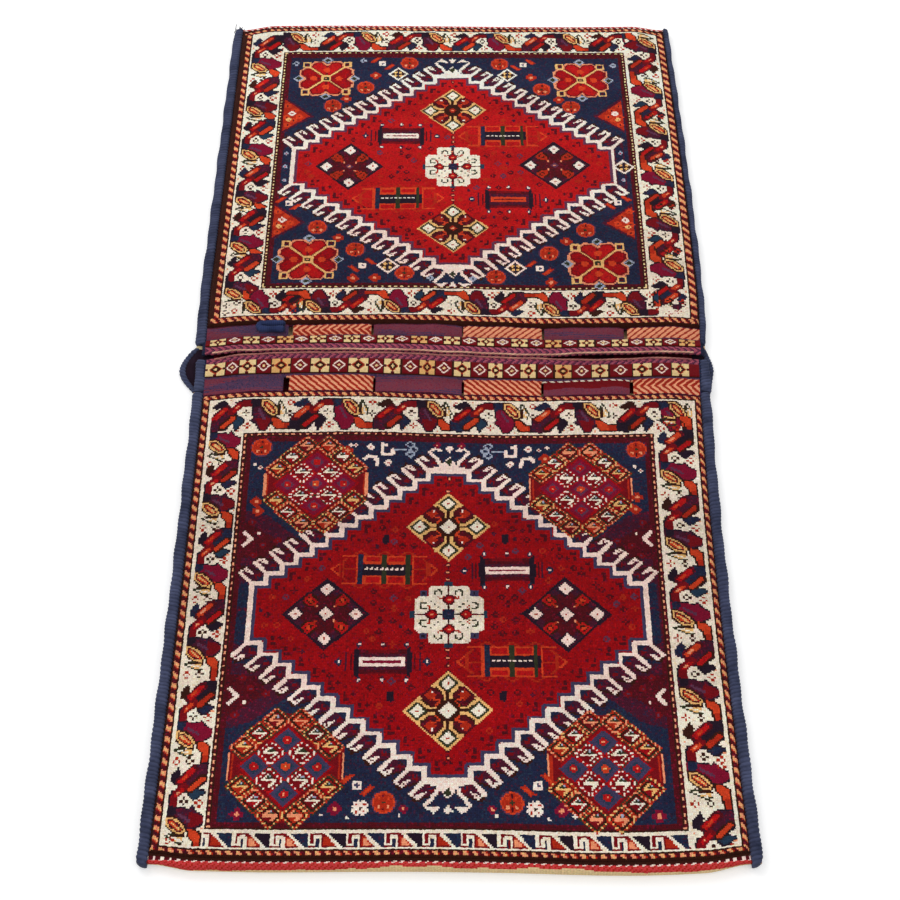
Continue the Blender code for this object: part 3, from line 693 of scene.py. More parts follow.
def frame_between(plan: Plan, outer: Box, inner: Box, slack: float) -> tuple[np.ndarray, ...]:
    """The knots in the frame between two rectangles.

    Args:
        plan: the plan that they are on.
        outer, inner: the frame's rectangles.
        slack: how far the frame's sides run on into its corners.

    Returns:
        Every knot's place across and down, whether it is in the frame and in the frame's sides, and
        its distance from the frame's outer edge.
    """
    x, y = np.meshgrid(plan.x, plan.y)
    framed = (x > outer[0]) & (x < outer[2]) & (y > outer[1]) & (y < outer[3])
    framed &= ~((x > inner[0]) & (x < inner[2]) & (y > inner[1]) & (y < inner[3]))
    upright = framed & ((x < inner[0]) | (x > inner[2])) & (y > inner[1] - slack) & (y < inner[3] + slack)
    depth = np.minimum(np.minimum(x - outer[0], outer[2] - x), np.minimum(y - outer[1], outer[3] - y))
    return x, y, framed, upright, depth


def barber_line(
    plan: Plan, outer: Box, inner: Box, margins: tuple[float, float], pitch: float, rise: float
) -> None:
    """Slanting stripes in the frame between two rectangles.

    Args:
        plan: the plan to draw on.
        outer, inner: the frame's rectangles.
        margins: width of the dark outer edge on the left and on the right.
        pitch: length of one stripe and its gap, along the rows.
        rise: the same, up the sides.
    """
    x, y, framed, upright, depth = frame_between(plan, outer, inner, 2)
    run = np.where(upright, (y - 0.8 * x) / rise, (x - 0.8 * y) / pitch)
    share = run - np.floor(run)
    within = np.maximum(np.maximum(inner[0] - x, x - inner[2]), np.maximum(inner[1] - y, y - inner[3]))
    margin = np.where(upright, np.where(x < inner[0], margins[0], margins[1]), 1.4)
    edge = (depth < margin) | (within < np.where(upright, 2.3, 1.4))
    plan.wool[framed] = DARK_RED.number
    plan.wool[framed & (share < 0.44)] = SALMON.number
    plan.wool[framed & (share >= 0.16) & (share < 0.30)] = GOLD.number
    plan.wool[framed & (share >= 0.44) & (share < 0.56)] = RUST.number
    plan.wool[framed & edge] = BROWN.number


def dotted_line(plan: Plan, outer: Box, inner: Box, wool: Wool, pitch: float, rise: float) -> None:
    """A guard line of pale dots in the frame between two rectangles.

    Args:
        plan: the plan to draw on.
        outer, inner: the frame's rectangles.
        wool: the dots' wool.
        pitch: from dot to dot, along the rows.
        rise: the same, up the sides.
    """
    x, y, framed, upright, depth = frame_between(plan, outer, inner, 0)
    run = np.where(upright, y / rise, x / pitch)
    share = run - np.floor(run)
    plan.wool[framed] = BROWN.number
    plan.wool[framed & (share >= 0.42) & (depth > 1.2) & (depth < 3.8)] = DARK_RED.number
    plan.wool[framed & (share < 0.40) & (depth > 1.4) & (depth < 3.6)] = wool.number


def frame_fill(plan: Plan, box: Box, wool: Wool) -> None:
    """Fills everything inside a rectangle."""
    plan.polygon([(box[0], box[1]), (box[2], box[1]), (box[2], box[3]), (box[0], box[3])], wool)


@dataclass(frozen=True)
class Medallion:
    """The stepped medallion with its hooked outline."""

    x: float
    y: float
    flat: float
    reach: float
    top: float
    shoulder: float
    bottom: float
    low_shoulder: float
    inner: Wool
    steps: int = 12

    def corners(self, down: int) -> Points:
        """The stepped line of one quarter, as seen from the centre.

        Args:
            down: -1 for the upper quarters and 1 for the lower ones.

        Returns:
            The line, from the middle out to the side.
        """
        tall = self.y - self.top if down < 0 else self.bottom - self.y
        level = self.y - self.shoulder if down < 0 else self.low_shoulder - self.y
        dx, dy = (self.reach - self.flat) / self.steps, (tall - level) / self.steps
        points = [(0.0, tall)]
        for k in range(self.steps + 1):
            points.append((self.flat + k * dx, tall - k * dy))
            if k < self.steps:
                points.append((self.flat + k * dx, tall - (k + 1) * dy))
        return [*points, (self.reach, 0.0)]

    def draw(self, plan: Plan, red: Wool, line: Wool) -> None:
        """Draws the ground, the stepped lines and the hooks.

        Args:
            plan: the plan to draw on.
            red: the wool of the inside.
            line: the wool of the stepped outline.
        """
        quarters = [(pen, self.corners(int(pen.down))) for pen in mirrored(plan, self.x, self.y)]
        for pen, points in quarters:
            for a, b in points[1:-1:2]:
                pen.polygon([(a, b), (a + 17, b + 13), (a + 11, b + 24), (a - 3, b + 19),
                             (a - 17, b + 14)], BROWN)
                pen.polygon([(a, b), (a + 15, b + 12), (a + 9, b + 21), (a - 2, b + 17),
                             (a - 16, b + 14)], AUBERGINE)
            pen.stroke([(self.reach + 7, points[-2][1] + 8), (self.reach + 7, 0)], 14, AUBERGINE)
            pen.stroke([(self.reach + 8, points[-2][1] - 3), (self.reach + 8, 0)], 9.5, NAVY)
        for pen, points in quarters:
            pen.polygon([(0.0, 0.0), *points], red)
            pen.stroke([(max(a - 4.4, 0), max(b - 4.4, 0)) for a, b in points], 3.4, self.inner)
        for pen, points in quarters:
            for a, b in points[1:-1:2]:
                pen.polygon([(a - 10, b + 10.5), (a - 4, b + 6), (a - 4, b + 12),
                             (a - 8, b + 14)], DEEP_RED)
                pen.diamond(a - 6, b + 8.5, 1.7, 1.7, NAVY)
                self.hook(pen, a, b, line)
            pen.stroke(points, 5.2, line)
            self.crown(pen, points[0][1], line)

    def hook(self, pen: Pencil, a: float, b: float, wool: Wool) -> None:
        """Draws one outward hook from a corner of the stepped line.

        Args:
            pen: draws in one quarter.
            a, b: the corner.
            wool: its wool.
        """
        pen.stroke([(a, b), (a + 13.6, b + 14.6)], 4.6, wool)
        pen.polygon([(a + 15.5, b + 14.5), (a + 12, b + 17.5), (a + 7, b + 21.5), (a + 3.4, b + 18.5),
                     (a - 2, b + 12.6),
                     (a + 3.4, b + 13.2), (a + 9, b + 17)], wool)
        pen.diamond(a + 5.6, b + 17.4, 1.2, 1.2, DARK_RED)

    def crown(self, pen: Pencil, top: float, wool: Wool) -> None:
        """Draws the crown over the flat end.

        Args:
            pen: draws in one quarter.
            top: where the flat end lies.
            wool: its wool.
        """
        pen.polygon([(0, top), (self.flat, top), (self.flat, top + 4), (11, top + 6.5),
                     (0, top + 21)], wool)
        pen.polygon([(0, top + 8), (4.6, top + 14), (0, top + 19)], MOSS)
        pen.stroke([(9, top + 6), (11.5, top + 14), (22.5, top + 27)], 4.0, wool)
        pen.polygon([(23.5, top + 29), (14, top + 36), (6, top + 28), (15, top + 29.5)], wool)
        pen.polygon([(0, top + 26), (5, top + 34), (0, top + 36)], wool)


def small_diamond(plan: Plan, x: float, y: float, wide: float, tall: float, gold: bool, star: bool) -> None:
    """One of the four diamonds inside a medallion.

    Args:
        plan: the plan to draw on.
        x, y: its centre.
        wide, tall: its half diagonals.
        gold: whether it is outlined in gold, or in aubergine.
        star: whether its centre has a star too.
    """
    pen = Pencil(plan, x, y)
    edge, inside = (GOLD, BROWN) if gold else (INK, DARK_RED)
    white = CREAM if gold else PINK_WHITE
    pen.diamond(0, 0, wide, tall, edge)
    if not gold:
        pen.diamond(0, 0, wide - 4, tall - 4, AUBERGINE)
        pen.diamond(0, 0, wide - 15, tall - 15, inside)
    else:
        pen.diamond(0, 0, wide - 5.4, tall - 5.4, inside)
    for quarter in mirrored(plan, x, y):
        a, b = wide * 0.36, tall * 0.36
        if gold:
            quarter.diamond(a, b, wide * 0.27, tall * 0.27, DARK_RED)
            quarter.diamond(a + 1, b + 1, wide * 0.14, tall * 0.14, RUST)
            quarter.stroke([(wide * 0.26, 6), (wide * 0.17, tall * 0.24),
                            (wide * 0.34, tall * 0.30)], 2.2, ORANGE)
            quarter.stroke([(3, tall * 0.30), (3, tall * 0.42), (wide * 0.28, tall * 0.68)], 3.2, GOLD)
            quarter.stroke([(wide * 0.30, 3), (wide * 0.42, 3), (wide * 0.68, tall * 0.28)], 3.2, GOLD)
            quarter.diamond(a - 1, b + 4.6, 1.7, 1.7, PINK_WHITE)
        else:
            quarter.oval(a, b, 8.5, 8, BROWN)
            quarter.loop([(a - 6.5, b - 2), (a + 1, b + 7), (a + 7, b),
                          (a, b - 5.5)], 2.8, MADDER if star else RUST)
            quarter.oval(a + 0.5, b + 0.5, 2.4, 2.4, ORANGE if star else RUST)
            quarter.stroke([(a - 7, b - 7), (a - 2, b - 3)], 2.8, RUST)
            quarter.diamond(a - 8.5, b - 8, 1.5, 1.5, SALMON)
    places = [(0.0, -0.68), (0.68, 0.0), (0.0, 0.68), (-0.68, 0.0)]
    if gold:
        pen.stroke([(-wide * 0.6, 0), (wide * 0.6, 0)], 1.9, BROWN)
        pen.stroke([(0, -tall * 0.6), (0, tall * 0.6)], 1.9, BROWN)
        for a, b in places:
            pen.diamond(a * wide, b * tall, 11.4, 11.4, MOSS)
    if star:
        places.append((0.0, 0.0))
    for a, b in places:
        size = 9.6 if gold and not a and not b else 7.6
        pen.diamond(a * wide, b * tall, size + (0 if gold else 2.4), size + (0 if gold else 2.4), INK)
        pen.diamond(a * wide, b * tall, size, size + 0.4, white)
        pen.diamond(a * wide, b * tall, 1.7, 1.7, RUST if a or b else MADDER)
    if not star:
        pen.diamond(0, 0, 5, 5, PLUM if not gold else RUST)
        pen.diamond(0, 0, 2, 2, SALMON)


def rosette(plan: Plan, x: float, y: float, size: float, spurs: bool) -> None:
    """The cream rosette with eight petals in the middle of a medallion.

    Args:
        plan: the plan to draw on.
        x, y: its centre.
        size: half its width.
        spurs: whether dark spurs stand on its diagonals too.
    """
    k = size / 37
    pen = Pencil(plan, x, y)
    for a, b in ((0, 37.5), (0, -37.5), (37.5, 0), (-37.5, 0)):
        pen.box((a - 4.4) * k, (b - 4.4) * k, (a + 4.4) * k, (b + 4.4) * k, TEAL)
    for quarter in mirrored(plan, x, y):
        if spurs:
            quarter.box(23 * k, 23 * k, 32 * k, 31 * k, SLATE)
            quarter.diamond(27.5 * k, 27 * k, 2.4, 2.4, INK)
        for swap in (False, True):
            def turn(points: Points) -> Points:
                """The points at this petal's own turn and size."""
                return [((b if swap else a) * k, (a if swap else b) * k) for a, b in points]

            quarter.polygon(turn([(1.4, 7), (1.4, 37), (19, 37), (22.6, 33), (22.6, 22.4), (8, 7)]), CREAM)
            quarter.stroke(turn([(7, 25.5), (8, 30), (12, 31.5), (15, 29), (14.5, 25)]), 1.9, MOSS)
            quarter.stroke(turn([(6.5, 21.5), (10, 20.5), (12, 23)]), 1.9, RUST)
            quarter.oval(*turn([(0, 18.5)])[0], 6.6 * k, 6.6 * k, DARK_RED)
            quarter.diamond(*turn([(0, 18.5)])[0], 5.6 * k, 5.6 * k, MADDER)
            quarter.diamond(*turn([(0, 18.5)])[0], 1.7, 1.7, SALMON)
            quarter.stroke(turn([(0, 7), (0, 12)]), 2.0, BROWN)
            quarter.stroke(turn([(0, 25), (0, 37)]), 2.0, DARK_RED)
        for t in (10, 14, 18):
            quarter.diamond((t + 1.5) * k, (t - 0.6) * k, 1.5, 1.5, MOSS)
        quarter.polygon([(0, 0), (6.5 * k, 0), (6.5 * k, 3.5 * k), (3.5 * k, 6.5 * k), (0, 6.5 * k)], NAVY)
    pen.diamond(0, 0, 2, 2, SLATE)


def white_bar(plan: Plan, x: float, y: float, wide: float, edge: Wool) -> None:
    """A long outlined bar in a dark frame, with dots over, under and beside it.

    Args:
        plan: the plan to draw on.
        x, y: its centre.
        wide: its length.
        edge: the wool of its outline.
    """
    pen = Pencil(plan, x, y)
    pen.box(-27, -15, 27, 15, DARK_RED)
    pen.box(-27, -9, 27, 9, AUBERGINE)
    pen.box(-16, -15, 16, -12, DEEP_RED)
    pen.box(-16, 12, 16, 15, DEEP_RED)
    for way in (-1, 1):
        pen.polygon([(way * 25, -15), (way * 29, -19), (way * 31, -8), (way * 31, 8), (way * 29, 19),
                     (way * 25, 16)], INK)
        pen.stroke([(way * 34, -9), (way * 34, 9)], 1.9, DARK_RED)
        pen.stroke([(way * 39, -10), (way * 39, 10)], 2.0, AUBERGINE)
        pen.diamond(way * 47, 0, 4.6, 5.6, NAVY)
        pen.diamond(way * 47, 0, 2.0, 2.0, PINK_WHITE)
        for a in (-25.5, 0, 25):
            pen.diamond(a, way * 21, 3.4, 4.6, NAVY if a else AUBERGINE)
            pen.diamond(a, way * 21.5, 2.0, 2.0, PINK_WHITE)
    pen.box(-wide / 2, -5.2, wide / 2, 4.8, edge)
    pen.box(-wide / 2 + 3.6, -1.5, wide / 2 - 3.6, 1.1, CRIMSON if edge is not ORANGE else DARK_RED)


def comb(plan: Plan, x: float, y: float) -> None:
    """A comb figure outlined in orange, with a row of white dots along its middle.

    Args:
        plan: the plan to draw on.
        x, y: its centre.
    """
    pen = Pencil(plan, x, y)
    pen.box(-29, -8, 30, 8, INK)
    for a, wool in ((-27, NAVY), (0, MOSS), (25, MOSS)):
        pen.box(a - 2.6, -20, a + 2.6, 18, wool)
        for way in (-1, 1):
            pen.stroke([(a - 8, way * 19), (a, way * 24), (a + 8, way * 19)], 2.0, RUST)
    for quarter in mirrored(plan, x, y):
        quarter.box(4, 9, 22, 18, MADDER)
        quarter.loop([(4, 9), (22, 9), (22, 18), (4, 18)], 2.1, ORANGE)
        quarter.stroke([(31, 0), (31, 18), (46, 18)], 2.2, ORANGE)
        quarter.stroke([(46, 0), (46, 10), (42, 14)], 2.0, RUST)
        quarter.stroke([(31, 0), (46, 0)], 2.0, RUST)
        quarter.stroke([(49, 8), (58, 0)], 2.0, ORANGE)
        quarter.stroke([(49, 0), (49, 8)], 2.0, RUST)
    for i in range(8):
        pen.diamond(-19.6 + 5.6 * i, -1, 2.1, 2.1, PINK_WHITE)


def dotted_ring(pen: Pencil, a: float, b: float, size: float, dark: Wool, pale: Wool) -> None:
    """The outline of a diamond, with pale knots set along it.

    Args:
        pen: where to draw.
        a, b: its centre.
        size: its half diagonal.
        dark: the line's wool.
        pale: the wool of the single knots.
    """
    pen.ring(a, b, size, size * 0.94, 2.0, dark)
    for i in range(4):
        t = (i + 0.5) / 4
        for way_a in (-1, 1):
            for way_b in (-1, 1):
                pen.diamond(a + way_a * size * t, b + way_b * size * 0.94 * (1 - t), 1.45, 1.45, pale)


def letter_hook(pen: Pencil, a: float, b: float, size: float, pale: Wool) -> None:
    """The double hook in a cell: two slanting arms on a bar, with a dark corner.

    Args:
        pen: where to draw.
        a, b: its centre.
        size: its width.
        pale: its wool.
    """
    k = size / 14
    pen.polygon([(a - 4 * k, b - 1.2), (a + 1 * k, b - 6.4 * k), (a + 6 * k, b - 1.2)], MOSS)
    pen.stroke([(a - 7 * k, b), (a + 7 * k, b)], 2.2, pale)
    pen.stroke([(a - 7 * k, b), (a - 1 * k, b - 6 * k)], 1.9, pale)
    pen.stroke([(a + 7 * k, b), (a + 1 * k, b + 6 * k)], 1.9, pale)
    pen.diamond(a + 1.5 * k, b - 4.4 * k, 1.4, 1.4, PALE_BLUE)


def lattice(plan: Plan, x: float, y: float, upper: bool) -> None:
    """A corner octagon of hooked cells round five flowers.

    Args:
        plan: the plan to draw on.
        x, y: its centre.
        upper: whether it is one of the upper pair, whose flower ground is redder.
    """
    pen = Pencil(plan, x, y)
    shape = [(-58, -20), (-18, -61), (18, -61), (58, -20), (58, 20), (18, 61), (-18, 61), (-58, 20)]
    pen.polygon(shape, DEEP_RED)
    ground = CRIMSON if upper else SLATE
    for a, b in ((-32, 0), (32, 0), (0, -30), (0, 30), (0, 0)):
        pen.diamond(a, b, 17.5, 16.5, FIELD_RED)
        pen.diamond(a, b, 14.6, 13.6, ground)
        pen.diamond(a, b, 8, 8, PLUM if upper else TEAL)
        pen.oval(a, b, 4.4, 4.2, MADDER if (a or b) else ORANGE)
        pen.diamond(a, b, 1.6, 1.6, SALMON if (a or b) else GOLD)
    for quarter in mirrored(plan, x, y):
        quarter.diamond(16, 15.5, 15.6, 14.8, MOSS)
        quarter.diamond(16, 15.5, 12.6, 11.8, DEEP_RED)
        dotted_ring(quarter, 16, 15.5, 13.8, MADDER, PINK_WHITE)
        letter_hook(pen, quarter.across * 16, quarter.down * 15.5, 14, CREAM)
        for i, (a, b) in enumerate(((44, 22), (29, 37.5), (12.5, 53))):
            inside = (RUST, FIELD_RED, DEEP_RED)[(i + (quarter.across > 0)) % 3]
            quarter.diamond(a, b, 16.4, 15.4, MOSS)
            quarter.diamond(a, b, 12.2, 11.4, inside)
            dotted_ring(quarter, a, b, 14.2, RUST, (SALMON, GOLD)[(i + (quarter.down > 0)) % 2])
            quarter.ring(a, b, 10.8, 10, 1.9, BROWN)
            letter_hook(pen, quarter.across * a, quarter.down * b, 13, (GOLD, CREAM, SALMON)[i])
    for way in (-1, 1):
        pen.stroke([(way * 58, -15), (way * 58, 15)], 2.2, SALMON)
        pen.stroke([(way * 54.6, -13), (way * 54.6, 13)], 2.2, RUST)


def heart_rosette(plan: Plan, x: float, y: float) -> None:
    """A corner rosette of red heart-shaped petals with gold outlines.

    Args:
        plan: the plan to draw on.
        x, y: its centre.
    """
    pen = Pencil(plan, x, y)
    for a, b in ((0, 37), (0, -37), (38, 0), (-38, 0)):
        pen.diamond(a, b, 7, 6.4, MOSS)
        pen.ring(a, b, 6, 5.4, 2.0, PALE_BLUE)
    for quarter in mirrored(plan, x, y):
        edge = [(0, 27), (6, 33.5), (17, 34), (22, 29), (23, 22), (29, 21), (35.5, 17), (36, 7), (29, 0)]
        quarter.polygon([(0, 0), *edge], DEEP_RED)
        quarter.polygon([(1.5, 5), (1.5, 25), (8, 31), (16, 31), (20, 24)], MADDER)
        quarter.polygon([(5, 1.5), (25, 1.5), (32, 8), (32, 15), (24, 19)], FIELD_RED)
        quarter.stroke(edge, 2.3, SALMON)
        quarter.stroke([(0, 0), (23, 22)], 2.3, GOLD)
        quarter.loop([(23, 23), (32, 23), (32, 32), (23, 32)], 2.4, GOLD)
        quarter.box(25, 25, 30, 30, DARK_RED)
    for a, b in ((17, 0), (-17, 0), (0, 17), (0, -17)):
        pen.oval(a, b, 4.8, 4.8, ORANGE)
    pen.box(-6.4, -6.4, 6.4, 6.4, GOLD)
    pen.box(-3.4, -3.4, 3.4, 3.4, MOSS)
    pen.diamond(0, 0, 1.4, 1.4, SALMON)


def scatter(plan: Plan, places: Points, petals: Wool, heart: Wool, size: float) -> None:
    """Small flowers at these places."""
    for x, y in places:
        Pencil(plan, x, y).sprig(0, 0, petals, heart, size)


def round_flower(plan: Plan, x: float, y: float) -> None:
    """A round red flower with a pale outline and spots.

    Args:
        plan: the plan to draw on.
        x, y: its centre.
    """
    pen = Pencil(plan, x, y)
    pen.oval(0, 0, 12.6, 12.6, PLUM)
    pen.oval(0, 0, 11.6, 11.6, ORANGE)
    pen.oval(0, 0, 9.6, 9.6, RUST)
    for quarter in mirrored(plan, x, y):
        quarter.diamond(4.6, 4.8, 2.2, 2.2, SALMON if quarter.down > 0 else ORANGE)
        quarter.stroke([(0, 6), (0, 9)], 1.9, DARK_RED)
    pen.diamond(0, 0, 2.4, 2.4, MOSS)


def star_flower(plan: Plan, x: float, y: float, wool: Wool) -> None:
    """A pale flower of eight knots round a dark heart.

    Args:
        plan: the plan to draw on.
        x, y: its centre.
        wool: its wool.
    """
    pen = Pencil(plan, x, y)
    pen.oval(0, 0, 8.6, 8.6, wool)
    for a, b in ((-4, -4), (4, -4), (-4, 4), (4, 4), (0, -7.5), (0, 7.5), (-7.5, 0), (7.5, 0)):
        pen.diamond(a, b, 1.5, 1.5, RUST if a * b else NAVY)
    pen.diamond(0, 0, 2.2, 2.2, BROWN)


def diamond_flower(plan: Plan, x: float, y: float) -> None:
    """A pale outlined diamond with a cross in it.

    Args:
        plan: the plan to draw on.
        x, y: its centre.
    """
    pen = Pencil(plan, x, y)
    pen.diamond(0, 0, 14.5, 13.5, PINK_WHITE)
    pen.diamond(0, 0, 10.6, 9.8, BROWN)
    for quarter in mirrored(plan, x, y):
        quarter.diamond(3.4, 3.2, 2.8, 2.6, GOLD)
    pen.stroke([(0, -6), (0, 6)], 1.8, NAVY)


def berries(plan: Plan, x: float, y: float, way: int) -> None:
    """Two slanting orange buds with a pale square flower between them.

    Args:
        plan: the plan to draw on.
        x, y: its centre.
        way: 1 or -1, for the way that they slant.
    """
    pen = Pencil(plan, x, y, way, 1)
    for a, b in ((-10, -7), (10, 6)):
        pen.polygon([(a - 8, b + 4), (a + 3, b - 6), (a + 8, b - 4), (a - 2, b + 6)], RUST)
        pen.polygon([(a - 5, b + 3), (a + 3, b - 4), (a + 5.5, b - 3), (a - 2, b + 4.4)], ORANGE)
    pen.box(-4.6, -4.6, 4.6, 4.6, PINK_WHITE)
    pen.diamond(0, 0, 2.4, 2.4, SLATE)


def hook_border(plan: Plan, box: Box) -> None:
    """The narrow border of running hooks along the front pocket's lower edge.

    Args:
        plan: the plan to draw on.
        box: the band's rectangle.
    """
    frame_fill(plan, box, DEEP_RED)
    plan.limits = box
    for i in range(-1, 14):
        pen = Pencil(plan, 97 + i * 37.2, box[1], 1, (box[3] - box[1]) / 15)
        pen.polygon([(1, -1), (19, -1), (19, 16), (13, 16)], (NAVY, INK)[i % 2])
        pen.stroke([(-1, -1), (13, 15)], 3.4, CREAM)
        pen.box(27, 5, 30, 16, NAVY)
        pen.stroke([(20, 0), (20, 12.6), (25.6, 12.6), (25.6, 3.6), (31.4, 3.6), (31.4, 15)], 2.6, CREAM)
        pen.polygon([(34, 3), (38.5, 3), (47, 14), (34, 14)], RUST)
        pen.polygon([(35.5, 5), (38, 5), (43, 12.6), (35.5, 12.6)], (SALMON, SALMON, RUST)[i % 3])
    plan.limits = NO_LIMITS


def field_specks(plan: Plan, medallion: Medallion, seed: int) -> None:
    """Very small flowers and crosses set in uneven rows over the red ground.

    Args:
        plan: the plan to draw on.
        medallion: the outline that they keep inside.
        seed: fixes how uneven the rows are.
    """
    rng = np.random.default_rng(seed)
    ground = (MADDER.number, FIELD_RED.number)
    rows = int((medallion.bottom - medallion.top) / 7.4)
    for j in range(rows):
        for i in range(-15, 16):
            x = medallion.x + (i + 0.5 * (j % 2)) * 14.6 + rng.normal(0, 1.0)
            y = medallion.top + 6 + j * 7.4 + rng.normal(0, 0.8)
            kind = rng.integers(0, 7)
            found = plan.window(x - 6, y - 6, x + 6, y + 6)
            if found is None or not np.isin(found[0], ground).all() or rng.uniform() < 0.22:
                continue
            pen = Pencil(plan, x, y)
            if kind < 2:
                pen.ring(0, 0, 3.4, 3.2, 1.9, DARK_RED)
            elif kind < 4:
                pen.cross(0, 0, (RUST, DARK_RED)[kind % 2], 2.7)
            elif kind == 4:
                pen.ring(0, 0, 3.4, 3.4, 1.9, PLUM)
            elif kind == 5:
                pen.diamond(0, 0, 2.6, 3.4, AUBERGINE)
            else:
                pen.ring(0, 0, 3.0, 3.0, 1.9, RUST)


def serrated_edge(plan: Plan, medallion: Medallion) -> None:
    """A broken dark line of small steps that follows the medallion's outline inside.

    Args:
        plan: the plan to draw on.
        medallion: the medallion.
    """
    for pen in mirrored(plan, medallion.x, medallion.y):
        points = medallion.corners(int(pen.down))[1:-1]
        for i in range(0, len(points) - 1, 2):
            (a, b), (c, d) = points[i], points[i + 1]
            pen.box(a - 16, b - 14.5, a - 9.5, b - 11, DARK_RED)
            pen.box(c - 13, d - 9, c - 9.5, d - 3, DARK_RED)
            pen.diamond(a - 20, b - 19, 2.6, 2.6, DARK_RED)


class FacePlan:
    """The whole knotted design of one pocket."""

    def __init__(self, pocket: Pocket, columns: int, rows: int) -> None:
        """Lays out the knots.

        Args:
            pocket: the pocket whose face it is.
            columns: knots across.
            rows: knots along.
        """
        u = (np.arange(columns) + 0.5) / columns * 2 - 1
        q = pocket.band + (np.arange(rows) + 0.5) / rows * pocket.pile_length
        self.flipped = pocket.side > 0
        y = REAR_PLAN_MOUTH - PLAN_SCALE * q if self.flipped else FRONT_PLAN_MOUTH + PLAN_SCALE * q
        self.plan = Plan(plan_across(u, pocket.mean_half), np.sort(y), BROWN)

    def knots(self) -> np.ndarray:
        """The wool numbers, with the row nearest the mouth first."""
        return self.plan.wool[::-1] if self.flipped else self.plan.wool

    def borders(self, lines: Lines, sides: list[BorderSide], hooks_below: bool) -> None:
        """Draws all border lines and the main border.

        Args:
            lines: where each line runs.
            sides: the sides of the main border.
            hooks_below: whether the lower side has the border of hooks.
        """
        plan = self.plan
        margins = (3.8, 1.4) if hooks_below else (5.2, 3.4)
        barber_line(plan, lines.box(0), lines.box(1), margins, 9.6, 12.6)
        frame_fill(plan, lines.box(1), CREAM)
        for side in sides:
            side.draw(plan)
        inner = lines.box(3)
        if hooks_below:
            hook_border(plan, (inner[0] + 2, lines.bottom[3] + 1.5, inner[2] - 2, lines.bottom[2] - 0.5))
        dots, rise = (CLOSURE_LIGHT, 8.0) if hooks_below else (STRAW, 5.8)
        dotted_line(plan, lines.box(4), lines.box(5), dots, 8.0, rise)
        frame_fill(plan, lines.box(5), DARK_RED)
        frame_fill(plan, lines.box(6), NAVY)


